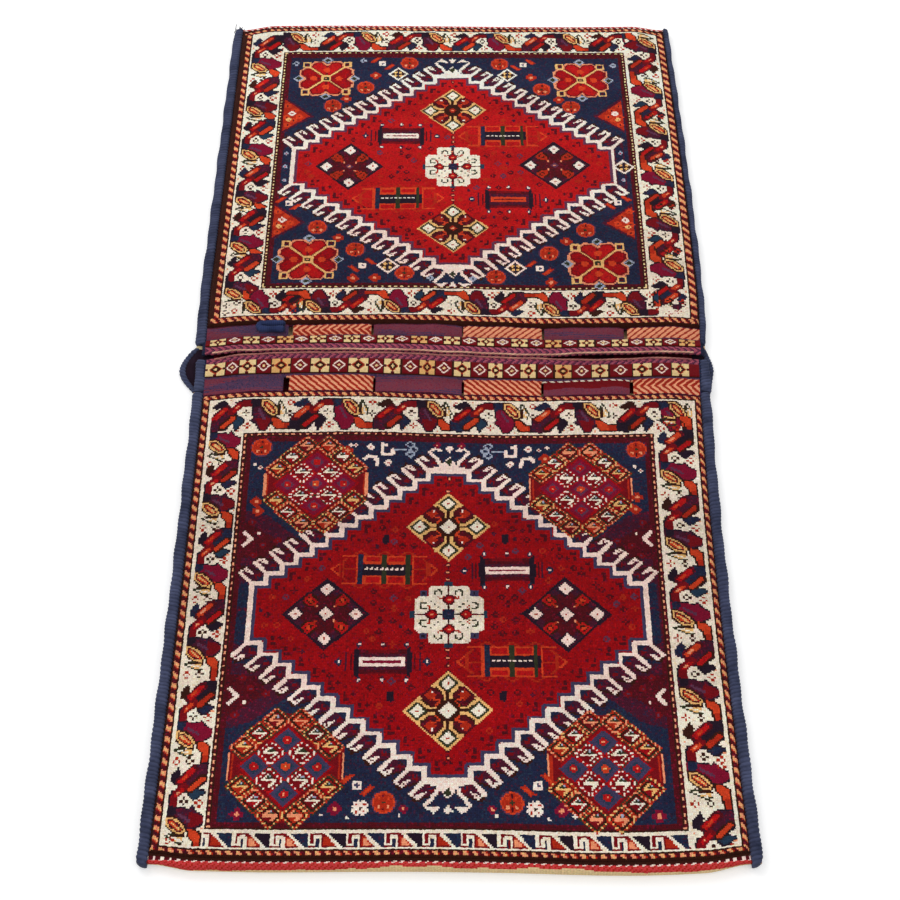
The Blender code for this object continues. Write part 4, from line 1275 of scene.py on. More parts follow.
def rear_face() -> FacePlan:
    """The rear pocket's design, with heart rosettes in its corners.

    Returns:
        The plan of its face.
    """
    face = FacePlan(REAR, columns=318, rows=310)
    lines = Lines(
        left=(34, 47, 49, 91, 93.5, 98.5, 104),
        right=(626.5, 613.5, 611.5, 568, 565.5, 560.5, 555),
        top=(12, 20.5, 22.5, 61, 63.5, 68, 76),
        bottom=(556.5, 546, 544, 504, 501.5, 497, 492),
    )
    left = BorderSide(
        (49.5, 23, 91, 521), 48.6, (91, 177, 260, 347, 427, 505),
        way=1, upright=True, wide=43, lead=0.90, first=1,
    )
    right = BorderSide(
        (568, 23, 611.2, 530), 612, (45, 138, 218, 304, 386, 464, 548),
        way=-1, upright=True, wide=44, lead=0.90, first=2,
    )
    top = BorderSide(
        (90, 23, 569, 61.2), 22.0, (108, 207, 302, 393, 489, 583),
        way=1, upright=False, wide=40, lead=0.94, first=0,
    )
    bottom = BorderSide(
        (73, 503.6, 577, 543.6), 544.5, (89, 162, 257, 354, 450, 545),
        way=-1, upright=False, wide=41, lead=0.90, first=1,
    )
    face.borders(lines, [left, right, top, bottom], hooks_below=False)
    plan = face.plan
    corner = Pencil(plan, 0, 0)
    for x, y in ((54, 527), (66, 524), (53, 539), (64, 537), (600, 536), (606, 524), (588, 541)):
        corner.cross(x, y, BROWN if x % 4 else RUST)
    corner.oval(598, 529, 6, 5, AUBERGINE)
    for way in (-1, 1):
        for y, tall in ((190, 34), (387, 32)):
            pen = Pencil(plan, 328 + way * 226, y, -way, 1)
            pen.polygon([(0, -tall), (40, 2), (0, tall)], AUBERGINE)
            pen.polygon([(0, -tall + 4), (34, 2), (0, tall - 4)], RUST)
            for a, b in ((4, -18), (14, -9), (4, 4), (20, 3), (5, 19), (13, 10)):
                pen.oval(a, b, 5.0, 4.4, ORANGE)
                pen.diamond(a, b, 1.6, 1.6, DARK_RED)
            pen.sprig(10, -3, PINK_WHITE, RUST, 4.4)
            pen.sprig(7, 9, GOLD, RUST, 3.4)
    medallion = Medallion(
        x=327, y=286, flat=24, reach=208.5, top=113.5, shoulder=252, bottom=463, low_shoulder=320,
        inner=PLUM,
    )
    medallion.draw(plan, MADDER, PINK_WHITE)
    serrated_edge(plan, medallion)
    for x, y in ((155, 117), (502, 120), (148, 453), (506, 458)):
        heart_rosette(plan, x, y)
    rounds = [(268, 86), (392, 88), (209, 135), (448, 140), (166, 172), (486, 174)]
    rounds += [(157, 397), (493, 401), (206, 435), (446, 440), (268, 476), (380, 480)]
    for x, y in rounds:
        round_flower(plan, x, y)
    for x, y in ((253, 108), (402, 111), (247, 463), (404, 465)):
        diamond_flower(plan, x, y)
    for x, y, way in ((231, 87, 1), (424, 90, -1), (216, 463, -1), (434, 465, 1), (118, 355, 1),
                      (537, 352, -1)):
        berries(plan, x, y, way)
    reds = [(222, 111), (434, 116), (184, 158), (470, 160), (184, 415), (468, 420)]
    scatter(plan, [*reds, (205, 485), (447, 488), (232, 484)], RUST, SALMON, 6.5)
    scatter(plan, [(112, 86), (548, 90), (300, 484), (352, 484), (204, 82)], PALE_BLUE, NAVY, 4)
    scatter(plan, [(110, 262), (110, 287), (110, 312), (546, 262), (546, 312)], PALE_BLUE, MADDER, 2.8)
    diamond_flower(plan, 548, 288)
    chain(plan, 327, 88, 486)
    small_diamond(plan, 327, 180, 44, 42, gold=True, star=False)
    small_diamond(plan, 327, 398, 45, 42, gold=True, star=False)
    small_diamond(plan, 193, 287, 44, 43, gold=False, star=False)
    small_diamond(plan, 459, 284, 46, 44, gold=False, star=False)
    rosette(plan, 327, 287.5, 35.5, spurs=False)
    white_bar(plan, 259, 229.5, 47, PINK_WHITE)
    white_bar(plan, 398, 347.5, 45, ORANGE)
    comb(plan, 393, 230)
    comb(plan, 257, 345)
    field_specks(plan, medallion, 5)
    return face


def chain(plan: Plan, x: float, low: float, high: float) -> None:
    """A dark line along the middle with small pale rings on it.

    Args:
        plan: the plan to draw on.
        x: its place across.
        low, high: where it starts and ends.
    """
    pen = Pencil(plan, x, 0)
    ground = (MADDER.number, FIELD_RED.number)
    for y in np.arange(low, high, 9.0):
        found = plan.window(x - 4, y - 4, x + 4, y + 4)
        if found is not None and np.isin(found[0], ground).all():
            pen.diamond(0, y, 3.4, 4.4, DARK_RED)
            pen.diamond(0, y, 1.6, 2.0, SALMON)


def front_face() -> FacePlan:
    """The front pocket's design, with lattice octagons in its corners.

    Returns:
        The plan of its face.
    """
    face = FacePlan(FRONT, columns=314, rows=312)
    lines = Lines(
        left=(33.5, 45, 47, 85, 87.5, 92.5, 99),
        right=(624.5, 614, 612, 567, 564.5, 559, 553),
        top=(666.5, 674, 676, 722, 725, 731.5, 738),
        bottom=(1246.5, 1240, 1238, 1221.5, 1218, 1217.6, 1211),
    )
    left = BorderSide(
        (47.2, 722, 85.2, 1238), 46.0, (740, 828, 922, 1015, 1116, 1212),
        way=1, upright=True, wide=40, lead=0.92, first=1,
    )
    right = BorderSide(
        (567, 698, 611.6, 1238), 566.4, (690, 784, 877, 972, 1067, 1163, 1262),
        way=1, upright=True, wide=46, lead=0.94, first=0,
    )
    top = BorderSide(
        (47.2, 676.2, 611.6, 722.4), 675.6, (112, 208, 306, 396, 490, 590),
        way=1, upright=False, wide=46.6, lead=1.0, first=0,
    )
    face.borders(lines, [left, top, right], hooks_below=True)
    plan = face.plan
    corner = Pencil(plan, 0, 0)
    for x, y in ((592, 716), (580, 709), (54, 1232), (604, 1150)):
        corner.cross(x, y, RUST)
    for way in (-1, 1):
        for y, turn in ((872, 1), (1070, -1)):
            pen = Pencil(plan, 326 + way * 227, y, -way, turn)
            pen.polygon([(0, -38), (26, -30), (72, 10), (60, 36), (0, 40)], AUBERGINE)
            pen.polygon([(0, -24), (40, 4), (26, 24), (0, 26)], DARK_RED)
            pen.stroke([(0, -8.5), (8, 0), (0, 8.5)], 4.2, PINK_WHITE)
            pen.diamond(16, -7, 2.4, 2.4, PINK_WHITE)
            for a, b in ((22, 9), (38, 3), (52, 16), (12, 22), (34, 22), (8, -22)):
                pen.oval(a, b, 4.2, 3.8, DEEP_RED)
                pen.diamond(a, b, 1.6, 1.6, PLUM)
    medallion = Medallion(
        x=327, y=968.5, flat=23.3, reach=215, top=779.5, shoulder=931, bottom=1166, low_shoulder=1006,
        inner=SLATE,
    )
    medallion.draw(plan, FIELD_RED, PINK_WHITE)
    serrated_edge(plan, medallion)
    lattice(plan, 175, 798, upper=True)
    lattice(plan, 477, 804, upper=True)
    lattice(plan, 163, 1151, upper=False)
    lattice(plan, 486, 1153, upper=False)
    for way in (-1, 1):
        pen = Pencil(plan, 327, 968.5, way, 1)
        pen.stroke([(97, -205), (93, -209), (84, -207), (82, -197)], 4.4, PINK_WHITE)
        pen.stroke([(73, -225), (77, -226), (77, -212), (65, -212), (65, -219)], 4.2, PINK_WHITE)
        pen.stroke([(63, -219), (50, -219)], 2.2, PALE_BLUE)
        for a, b in ((45, -226), (41, -219), (45, -212)):
            pen.ring(a, b, 5, 4.4, 1.9, PALE_BLUE)
        for a, b in ((91, -222), (70, -200)):
            pen.sprig(a, b, PINK_WHITE, RUST, 4.0)
        pen.diamond(113, -224, 2.6, 2.6, PINK_WHITE)
        pen.sprig(14, -226, CRIMSON, SALMON, 4.0)
        star_flower(plan, 327 + way * 87, 1196, PINK_WHITE)
        berries(plan, 327 + way * 91, 1171, -way)
        round_flower(plan, 327 + way * 64, 1190)
        for a, b in ((48, 1204), (126, 1203), (100, 1206)):
            pen.diamond(a, b - 968.5, 2.4, 2.4, PINK_WHITE)
        for a, b, size in ((113, 1197, 6.5), (209, 1203, 6.5), (44, 1197, 4.4)):
            pen.sprig(a, b - 968.5, CRIMSON, SALMON, size)
    for x, y in ((110, 746), (543, 748)):
        round_flower(plan, x, y)
    scatter(plan, [(210, 752), (437, 760), (109, 822), (112, 835), (541, 815), (538, 832)], RUST, SALMON, 6)
    whites = [(104, 770), (110, 775), (546, 778), (540, 772), (219, 745), (430, 748)]
    scatter(plan, whites, PINK_WHITE, RUST, 2.4)
    chain(plan, 327, 790, 1160)
    small_diamond(plan, 327, 856, 47, 46, gold=True, star=True)
    small_diamond(plan, 327, 1087, 47, 47, gold=True, star=True)
    small_diamond(plan, 195, 970, 48, 46, gold=False, star=True)
    small_diamond(plan, 455, 970, 49, 47, gold=False, star=True)
    rosette(plan, 328, 970, 37, spurs=True)
    white_bar(plan, 392, 914, 47.5, PINK_WHITE)
    white_bar(plan, 258, 1029, 49, PINK_WHITE)
    comb(plan, 257, 913)
    comb(plan, 395, 1029)
    for x, y in ((258, 873), (390, 873), (267, 1070), (385, 1070)):
        Pencil(plan, x, y).polygon([(-3, -6), (3, -6), (4, 4), (0, 7), (-4, 4)], INK)
    field_specks(plan, medallion, 9)
    return face


# ---------------------------------------------------------------- finishes


class Value:
    """A number in a shader, on which arithmetic adds Math nodes."""

    def __init__(self, bench: "Bench", socket: bpy.types.NodeSocket) -> None:
        """Wraps an output socket."""
        self.bench, self.socket = bench, socket

    def _math(self, operation: str, *inputs: "Value | float") -> "Value":
        """Adds one Math node."""
        made = self.bench.node("ShaderNodeMath", {"operation": operation}, dict(enumerate(inputs)))
        return Value(self.bench, made.outputs[0])

    def __add__(self, other: "Value | float") -> "Value":
        """Sum."""
        return self._math("ADD", self, other)

    __radd__ = __add__

    def __sub__(self, other: "Value | float") -> "Value":
        """Difference."""
        return self._math("SUBTRACT", self, other)

    def __rsub__(self, other: "Value | float") -> "Value":
        """Difference, the other way round."""
        return self._math("SUBTRACT", other, self)

    def __mul__(self, other: "Value | float") -> "Value":
        """Product."""
        return self._math("MULTIPLY", self, other)

    __rmul__ = __mul__

    def wave(self) -> "Value":
        """The sine."""
        return self._math("SINE", self)

    def size(self) -> "Value":
        """The number without its sign."""
        return self._math("ABSOLUTE", self)


class Bench:
    """One material on the bench, with its nodes."""

    def __init__(self, name: str) -> None:
        """Starts a material."""
        self.material = bpy.data.materials.new(name)
        self.material.use_nodes = True
        self.tree = self.material.node_tree
        self.shader = self.tree.nodes["Principled BSDF"]

    def node(
        self, kind: str, settings: dict | None = None, inputs: dict | None = None
    ) -> bpy.types.Node:
        """Adds a node.

        Args:
            kind: its type.
            settings: its properties, set first.
            inputs: values or links of its sockets.

        Returns:
            The node.
        """
        made = self.tree.nodes.new(kind)
        for key, value in (settings or {}).items():
            setattr(made, key, value)
        for key, value in (inputs or {}).items():
            self.put(made.inputs[key], value)
        return made

    def put(self, socket: bpy.types.NodeSocket, value: object) -> None:
        """Sets a socket, or links it.

        Args:
            socket: the socket.
            value: a value, a number in the shader or an output socket.
        """
        if isinstance(value, Value):
            value = value.socket
        if isinstance(value, bpy.types.NodeSocket):
            self.tree.links.new(value, socket)
        else:
            socket.default_value = value

    def noise(self, coordinates: bpy.types.NodeSocket, scale: float, detail: float = 2.0) -> Value:
        """A noise value over these coordinates."""
        inputs = {"Vector": coordinates, "Scale": scale, "Detail": detail}
        return Value(self, self.node("ShaderNodeTexNoise", None, inputs).outputs["Fac"])

    def tinted(self, colour: bpy.types.NodeSocket, share: Value) -> bpy.types.NodeSocket:
        """A colour made lighter or darker by a share."""
        inputs = {0: colour, "Scale": share}
        return self.node("ShaderNodeVectorMath", {"operation": "SCALE"}, inputs).outputs[0]

    def bumped(self, height: Value, distance: float, strength: float = 1.0) -> None:
        """Gives the shader a bump."""
        inputs = {"Height": height, "Distance": distance, "Strength": strength}
        self.put(self.shader.inputs["Normal"], self.node("ShaderNodeBump", None, inputs).outputs[0])

    def places(self) -> bpy.types.NodeSocket:
        """Object coordinates."""
        return self.node("ShaderNodeTexCoord").outputs["Object"]

    def uv(self) -> tuple[Value, Value]:
        """The piece's own flat coordinates."""
        flat = self.node("ShaderNodeUVMap", {"uv_map": "OFBake"}).outputs[0]
        split = self.node("ShaderNodeSeparateXYZ", None, {0: flat})
        return Value(self, split.outputs[0]), Value(self, split.outputs[1])

    def wool_attribute(self) -> bpy.types.NodeSocket:
        """The wool colour painted on the mesh."""
        return self.node("ShaderNodeAttribute", {"attribute_name": "wool"}).outputs["Color"]

    def woolly(self, roughness: float, sheen: float) -> None:
        """Sets the plain sockets of a wool surface.

        Args:
            roughness: how dull it is.
            sheen: how strong its sheen is.
        """
        for name, value in (
            ("Roughness", roughness),
            ("Sheen Weight", sheen),
            ("Sheen Roughness", 0.5),
            ("Specular IOR Level", 0.07),
        ):
            self.shader.inputs[name].default_value = value


@dataclass(frozen=True)
class KnottedPile:
    """Cut wool knots, each a small tuft, with painted shade in the gaps between knots."""

    columns: int
    rows: int
    fibre_scale: float = 900.0

    def make(self, name: str) -> bpy.types.Material:
        """Builds the material.

        Args:
            name: its name.

        Returns:
            The material.
        """
        bench = Bench(name)
        places = bench.places()
        across, along = bench.uv()
        width = (across * (self.columns * math.pi)).wave().size()
        tufts = width * (along * (self.rows * math.pi)).wave().size()
        fibres = bench.noise(places, self.fibre_scale, 3)
        patches = bench.noise(places, 60, 2)
        nap = bench.noise(places, 17, 2)
        # Fibres, patches and nap vary the tone at random; the tufts term is painted shade, darker in the
        # gaps between knots.
        shade = 0.34 + 0.52 * fibres + 0.34 * patches + 0.34 * nap + 0.26 * tufts
        bench.put(bench.shader.inputs["Base Color"], bench.tinted(bench.wool_attribute(), shade))
        bench.bumped(0.55 * tufts + 0.45 * fibres, 0.0011, 0.75)
        bench.woolly(0.92, 0.03)
        return bench.material


@dataclass(frozen=True)
class FlatWeave:
    """Weft-faced weave, with ribs across and fine yarns along, and painted shade in the grooves between
    yarns.
    """

    columns: int
    rows: int
    depth: float = 0.0006

    def make(self, name: str) -> bpy.types.Material:
        """Builds the material.

        Args:
            name: its name.

        Returns:
            The material.
        """
        bench = Bench(name)
        places = bench.places()
        across, along = bench.uv()
        warps = (across * (self.columns * math.pi)).wave().size()
        wefts = (along * (self.rows * math.pi)).wave().size()
        fibres = bench.noise(places, 1300, 3)
        patches = bench.noise(places, 40, 3)
        # Fibres and patches vary the tone at random; the warps and wefts terms are painted shade, darker in
        # the grooves between yarns.
        shade = 0.66 + 0.20 * fibres + 0.28 * patches + 0.12 * warps + 0.14 * wefts
        bench.put(bench.shader.inputs["Base Color"], bench.tinted(bench.wool_attribute(), shade))
        bench.bumped(0.45 * warps + 0.4 * wefts + 0.3 * fibres, self.depth, 0.8)
        bench.woolly(0.92, 0.03)
        return bench.material


@dataclass(frozen=True)
class WrappedYarn:
    """Yarn wound round an edge or a cord, with painted shade in the grooves between its turns."""

    colour: tuple[int, int, int]
    pale: tuple[int, int, int]
    fibre_scale: float = 700.0

    def make(self, name: str) -> bpy.types.Material:
        """Builds the material.

        Args:
            name: its name.

        Returns:
            The material.
        """
        bench = Bench(name)
        places = bench.places()
        stretched = bench.node("ShaderNodeMapping", None, {0: places, "Scale": (0.3, 1.0, 1.0)}).outputs[0]
        fibres = bench.noise(stretched, self.fibre_scale, 3)
        patches = bench.noise(places, 45, 3)
        shades = {"Factor": 1.5 * patches - 0.25, 6: (*linear(self.colour), 1), 7: (*linear(self.pale), 1)}
        blend = bench.node("ShaderNodeMix", {"data_type": "RGBA"}, shades)
        wound = Value(bench, bench.node("ShaderNodeAttribute", {"attribute_name": "wound"}).outputs["Fac"])
        # The fibres vary the tone at random; the wound attribute is painted shade, darker in the grooves
        # between turns.
        shade = 0.28 + 0.7 * fibres + 0.6 * wound
        bench.put(bench.shader.inputs["Base Color"], bench.tinted(blend.outputs[2], shade))
        bench.bumped(fibres, 0.0005, 0.7)
        bench.woolly(0.88, 0.05)
        return bench.material


# ---------------------------------------------------------------- sheets and cords


def finished(
    piece: bpy.types.Object, nodes: list[str], material: bpy.types.Material
) -> bpy.types.Object:
    """Dresses a piece, hangs it under the root and hides the CAD parts that it replaces.

    Args:
        piece: the finished object.
        nodes: the CAD nodes that it replaces.
        material: its material.

    Returns:
        The same object.
    """
    piece.data.materials.clear()
    piece.data.materials.append(material)
    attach(piece, "root")
    for node in nodes:
        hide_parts(node)
    log.info("%s: %d faces", piece.name, len(piece.data.polygons))
    return piece


def laid_sheet(name: str, points: np.ndarray) -> bpy.types.Object:
    """A grid of cloth laid through rows of points.

    Args:
        name: the piece's name.
        points: an array of rows, each a row of places across.

    Returns:
        The object, with its flat map.
    """
    rows, columns = points.shape[0] - 1, points.shape[1] - 1
    bpy.ops.object.select_all(action="DESELECT")
    bpy.ops.mesh.primitive_grid_add(x_subdivisions=columns, y_subdivisions=rows, size=2, calc_uvs=True)
    piece = bpy.context.object
    piece.name = piece.data.name = name
    mesh = piece.data
    flat = np.empty(len(mesh.vertices) * 3)
    mesh.vertices.foreach_get("co", flat)
    flat = flat.reshape(-1, 3)
    i = np.rint((flat[:, 0] + 1) / 2 * columns).astype(int)
    j = np.rint((flat[:, 1] + 1) / 2 * rows).astype(int)
    mesh.vertices.foreach_set("co", points[j, i].ravel())
    layer = mesh.uv_layers[0]
    layer.name = "OFBake"
    corner = np.empty(len(mesh.loops), int)
    mesh.loops.foreach_get("vertex_index", corner)
    uv = np.stack([i[corner] / columns, j[corner] / rows], axis=-1)
    layer.data.foreach_set("uv", uv.ravel())
    mesh.polygons.foreach_set("use_smooth", [True] * len(mesh.polygons))
    mesh.update()
    return piece


def cell_places(piece: bpy.types.Object, rows: int, columns: int) -> tuple[np.ndarray, np.ndarray]:
    """The row and column of each face of a laid sheet.

    Args:
        piece: the sheet.
        rows, columns: how many it has.

    Returns:
        The rows, and the columns.
    """
    mesh = piece.data
    uv = np.empty(len(mesh.loops) * 2)
    mesh.uv_layers["OFBake"].data.foreach_get("uv", uv)
    uv = uv.reshape(-1, 4, 2).mean(axis=1)
    return (uv[:, 1] * rows).astype(int), (uv[:, 0] * columns).astype(int)


def painted(piece: bpy.types.Object, colours: np.ndarray) -> None:
    """Paints each face of a sheet with its own linear colour.

    Args:
        piece: the sheet.
        colours: an array of rows and columns of colours.
    """
    rows, columns = colours.shape[:2]
    j, i = cell_places(piece, rows, columns)
    layer = piece.data.color_attributes.new("wool", "FLOAT_COLOR", "CORNER")
    values = np.ones((len(piece.data.loops), 4))
    values[:, :3] = np.repeat(colours[j, i], 4, axis=0)
    layer.data.foreach_set("color", values.ravel())


def thickened(piece: bpy.types.Object, thickness: float) -> None:
    """Gives a sheet its thickness, inwards.

    Args:
        piece: the sheet.
        thickness: its thickness.
    """
    bpy.ops.object.select_all(action="DESELECT")
    piece.select_set(True)
    bpy.context.view_layer.objects.active = piece
    solid = piece.modifiers.new("thickness", "SOLIDIFY")
    solid.thickness = thickness
    solid.offset = -1
    bpy.ops.object.modifier_apply(modifier=solid.name)


def dyed(numbers: np.ndarray, seed: int, spread: float, brightness_by_row: Points = ((0, 1), (1, 1))) -> np.ndarray:
    """Wool colours with the unevenness of hand dyeing and hand spinning, and a brightness along the rows
    that is painted sheen on the rear face.

    Args:
        numbers: the wool of each cell.
        seed: fixes the pattern of the unevenness.
        spread: how much single cells differ.
        brightness_by_row: how bright the rows are, as shares of the rows with their brightness.

    Returns:
        Linear colours.
    """
    rng = np.random.default_rng(seed)
    rows, columns = numbers.shape
    colours = WOOL_LINEAR[numbers]
    for wool, others in STRAYS.items():
        for other, often in others:
            here = (numbers == wool.number) & (rng.uniform(0, 1, numbers.shape) < often)
            colours[here] = 0.45 * colours[here] + 0.55 * WOOL_LINEAR[other.number]
    steps = np.repeat(rng.normal(0, 0.055, rows // 7 + 2), 7)[:rows]
    band = np.convolve(np.pad(steps, 4, "edge"), np.ones(5) / 5, "same")[4:-4]
    row_brightness = np.interp(np.arange(rows) / rows, [share for share, _ in brightness_by_row], [bright for _, bright in brightness_by_row])
    share = row_brightness[:, None] * (1 + band[:, None] + rng.normal(0, spread, (rows, columns)))
    warmth = 1 + rng.normal(0, 0.03, (rows, columns, 3))
    return np.clip(colours * share[..., None] * warmth, 0.001, 0.95)


@dataclass
class KnottedFace:
    """The knotted face of one pocket, one mesh face for each knot."""

    pocket: Pocket
    plan: FacePlan
    brightness_by_row: Points
    shoulder: float = 0.0028
    uneven: float = 0.0002
    wander: float = 0.00024

    def build(self) -> bpy.types.Object:
        """Builds and dresses the face.

        Returns:
            The object.
        """
        numbers = self.plan.knots()
        rows, columns = numbers.shape
        u = np.linspace(-1, 1, columns + 1)
        q = np.linspace(self.pocket.band, self.pocket.pile_end, rows + 1)
        uu, qq = np.meshgrid(u, q)
        side = (1 - np.abs(uu)) * self.pocket.mean_half
        depth = np.minimum(side, np.minimum(qq - self.pocket.band, self.pocket.pile_end - qq))
        rng = np.random.default_rng(21)
        lift = PILE * np.sqrt(np.clip(depth / self.shoulder, 0, 1)) - 0.0002
        lift += rng.normal(0, self.uneven, lift.shape) * (depth > 0)
        points = self.pocket.face(uu, qq, lift)
        points[1:-1, 1:-1, :2] += rng.normal(0, self.wander, (rows - 1, columns - 1, 2))
        piece = laid_sheet(f"{self.pocket.name}_knotted_face", self.pocket.facing_up(points))
        # The rows' brightness goes into the colours; on the rear face it is painted sheen towards the far
        # end.
        painted(piece, self.pocket.facing_up(dyed(numbers, 11 + self.pocket.side, 0.08, self.brightness_by_row)))
        pile = KnottedPile(columns, rows).make(f"{self.pocket.name}_pile")
        return finished(piece, ["woven_strip"], pile)

class ClosureKind(Enum):
    """How a block of the closure band is woven."""

    MOTTLED = "mostly navy"
    PLAIN = "mostly purple"
    SLANTING = "slanting stripes"
    POINTED = "stripes that turn half way"
    DASHED = "pale dashes on purple"


STRIPED = (ClosureKind.SLANTING, ClosureKind.POINTED)
SLIT_WIDTHS = (6.2, 2.8, 2.4, 3.0, 3.6)


@dataclass
class MouthBand:
    """The woven bands at one mouth: twined edge, strip of squares and closure blocks with slits."""

    pocket: Pocket
    squares: Points
    blocks: tuple[tuple[float, float, ClosureKind], ...]
    twine: float
    cell: float = 0.00135

    @property
    def strip(self) -> tuple[float, float]:
        """Where the strip of squares starts and ends, in millimetres."""
        return self.twine, (self.pocket.twined + self.pocket.squares + 0.001) * 1000

    @property
    def slits(self) -> list[tuple[float, float]]:
        """The place and width of each slit, in millimetres. They lie where two blocks meet."""
        return [(block[0], wide) for block, wide in zip(self.blocks[1:], SLIT_WIDTHS)]

    def stitches(self, x: np.ndarray, q: np.ndarray) -> np.ndarray:
        """The share of the way through one slanting twined stitch."""
        run = (x + np.abs(q - self.twine / 2) * 1.5) / 8.4
        return run - np.floor(run)

    def wool_at(self, x: np.ndarray, q: np.ndarray) -> np.ndarray:
        """The wool of each cell.

        Args:
            x: millimetre places across, as on the plan.
            q: millimetres from the mouth.

        Returns:
            Wool numbers.
        """
        low, high = self.strip
        share = self.stitches(x, q)
        twine = np.where(share < 0.46, TWINE_ROSE.number, TWINE_PLUM.number)
        twine = np.where(share > 0.84, NAVY.number, twine)
        tall = (high - low) / 2 - 1.4
        band = Plan(x[0], np.sort(q[:, 0]), DEEP_RED)
        for i, (start, stop) in enumerate(self.squares):
            pen = Pencil(band, (start + stop) / 2, (low + high) / 2)
            half = (stop - start) / 2
            pale = GOLD if i % 4 == 2 else STRAW
            pen.box(-half, -tall, half, tall, pale)
            pen.diamond(0, 0, half * 0.72, tall * 0.80, RUST)
            pen.diamond(0, 0, half * 0.56, tall * 0.62, BROWN)
            pen.diamond(0, 0, 2.3, 2.3, pale)
            for a in (-1, 1):
                pen.box(a * half, -1.6, a * (half - 2.6), 1.6, DARK_RED)
                pen.box(-1.8, a * tall, 1.8, a * (tall - 2.2), DARK_RED)
            if i + 1 < len(self.squares):
                pen = Pencil(band, (stop + self.squares[i + 1][0]) / 2, (low + high) / 2)
                room = (self.squares[i + 1][0] - stop) / 2
                pen.box(-room, -tall, -room + 1.6, tall, BROWN)
                pen.box(room - 1.6, -tall, room, tall, BROWN)
                wide = min(room - 1, 8.0)
                pen.diamond(0, 0, wide, tall * 0.84, PINK_WHITE)
                pen.diamond(0, 0, wide - 2.3, tall * 0.84 - 2.1, DEEP_RED)
                pen.diamond(0, 0, 2.0, 2.0, STRAW)
        number = band.wool.copy()
        number[(q < low + 1.2) | (q > high - 1.4)] = BROWN.number
        number = np.where(q < low, twine, number)
        closure = q >= high
        for start, stop, kind in self.blocks:
            here = closure & (x >= start) & (x < stop)
            number[here] = self.block(x, q - high, kind)[here]
        number[closure & (q < high + 1.6)] = CLOSURE_NAVY.number
        number[q > self.pocket.band * 1000 - 2.4] = AUBERGINE.number
        return number

    def block(self, x: np.ndarray, depth: np.ndarray, kind: ClosureKind) -> np.ndarray:
        """The wool of one closure block.

        Args:
            x: millimetre places across.
            depth: millimetres from the block's start.
            kind: how it is woven.

        Returns:
            Wool numbers.
        """
        if kind in STRIPED:
            turning = kind is ClosureKind.POINTED
            middle = self.pocket.closure * 500
            fold = np.where(depth > middle, depth, 2 * middle - depth) if turning else depth
            run = (x - 1.07 * fold) / 8.6
            pale = run - np.floor(run) < (0.42 if turning else 0.54)
            return np.where(pale, CLOSURE_LIGHT.number, CLOSURE_ORANGE.number)
        if kind is ClosureKind.DASHED:
            dashes = (depth > 1.8) & (depth < 4.4) & ((x - 1.2 * depth) / 9 % 1 < 0.58)
            ground = np.where(depth + np.sin(x / 9) > 14, CLOSURE_PURPLE.number, DEEP_RED.number)
            return np.where(dashes, CREAM.number, ground)
        if kind is ClosureKind.MOTTLED:
            waves = np.sin(x / 31 + 1) + np.sin(depth / 4 + x / 47)
            shaded = waves + 0.5 * np.sin(depth * 2.1 + x / 22) > 0.1
            return np.where(shaded, CLOSURE_PURPLE.number, CLOSURE_NAVY.number)
        shaded = np.sin(depth / 3.5 + x / 40) + 0.5 * np.sin(depth * 1.9 + x / 25) > 0.8
        return np.where(shaded, CLOSURE_NAVY.number, CLOSURE_PURPLE.number)

    def height_at(self, x: np.ndarray, q: np.ndarray) -> np.ndarray:
        """How far the yarns stand above the plain cloth, in metres.

        Args:
            x: millimetre places across.
            q: millimetres from the mouth.

        Returns:
            The heights.
        """
        low, high = self.strip
        share = self.stitches(x, q)
        twine = 0.0009 + 0.0009 * np.sin(2 * np.pi * np.clip(q / low, 0, 1)) ** 2
        twine = twine + 0.0005 * np.sin(np.pi * share)
        strip = 0.0026 * np.sqrt(np.clip(np.minimum(q - low, high - q) / 2.5, 0, 1)) + 0.0004
        end = self.pocket.band * 1000
        blocks = 0.0004 + 0.0011 * np.sqrt(np.clip(np.minimum(q - high, end - q) / 4, 0, 1))
        ribs = np.zeros_like(x)
        for start, stop, kind in self.blocks:
            turning = kind is ClosureKind.POINTED
            fold = np.abs(q - high - self.pocket.closure * 500) if turning else q - high
            ridges = np.sin(2 * np.pi * (x - 1.07 * fold) / 8.6 + 1.2)
            across = np.where((x >= start) & (x < stop), ridges, 0)
            ribs += across * (0.0005 if kind in STRIPED else 0.00015)
        for edge, _ in self.slits:
            ribs -= 0.0016 * np.exp(-(((x - edge) / 5.0) ** 2))
        ribs += 0.0006 * np.sin(x / 15.5 + 1) + 0.0004 * np.sin(x / 6.7)
        return np.where(q < low, twine, np.where(q < high, strip, blocks + ribs))

    def build(self) -> bpy.types.Object:
        """Builds and dresses the bands.

        Returns:
            The object.
        """
        p = self.pocket
        columns = round(2 * p.mouth_half / self.cell)
        rows = round((p.band + 0.002) / self.cell * 1.25)
        u = np.concatenate([[-2.0, -1.4], np.linspace(-1, 1, columns + 1), [1.4, 2.0]])
        q = np.linspace(0, p.band + 0.002, rows + 1)
        uu, qq = np.meshgrid(u, q)
        x = plan_across(uu, p.mouth_half)
        lift = np.where(np.abs(uu) <= 1, self.height_at(x, qq * 1000), 0)
        lift = np.where(qq > p.band, -0.0003, lift)
        points = p.face(uu, qq, lift)
        um, qm = (u[:-1] + u[1:]) / 2, (q[:-1] + q[1:]) / 2
        uc, qc = np.meshgrid(um, qm)
        numbers = self.wool_at(plan_across(uc, p.mouth_half), qc * 1000)
        numbers[:, :2] = numbers[:, -2:] = NAVY.number
        piece = laid_sheet(f"{p.name}_mouth_band", p.facing_up(points))
        painted(piece, p.facing_up(dyed(numbers, 31 + p.side, 0.06)))
        self.cut_slits(piece, uc, p.facing_up(qc))
        thickened(piece, CLOTH)
        weave = FlatWeave(round(columns * 0.8), 3 * rows).make(f"{p.name}_band_weave")
        return finished(piece, ["woven_strip"], weave)

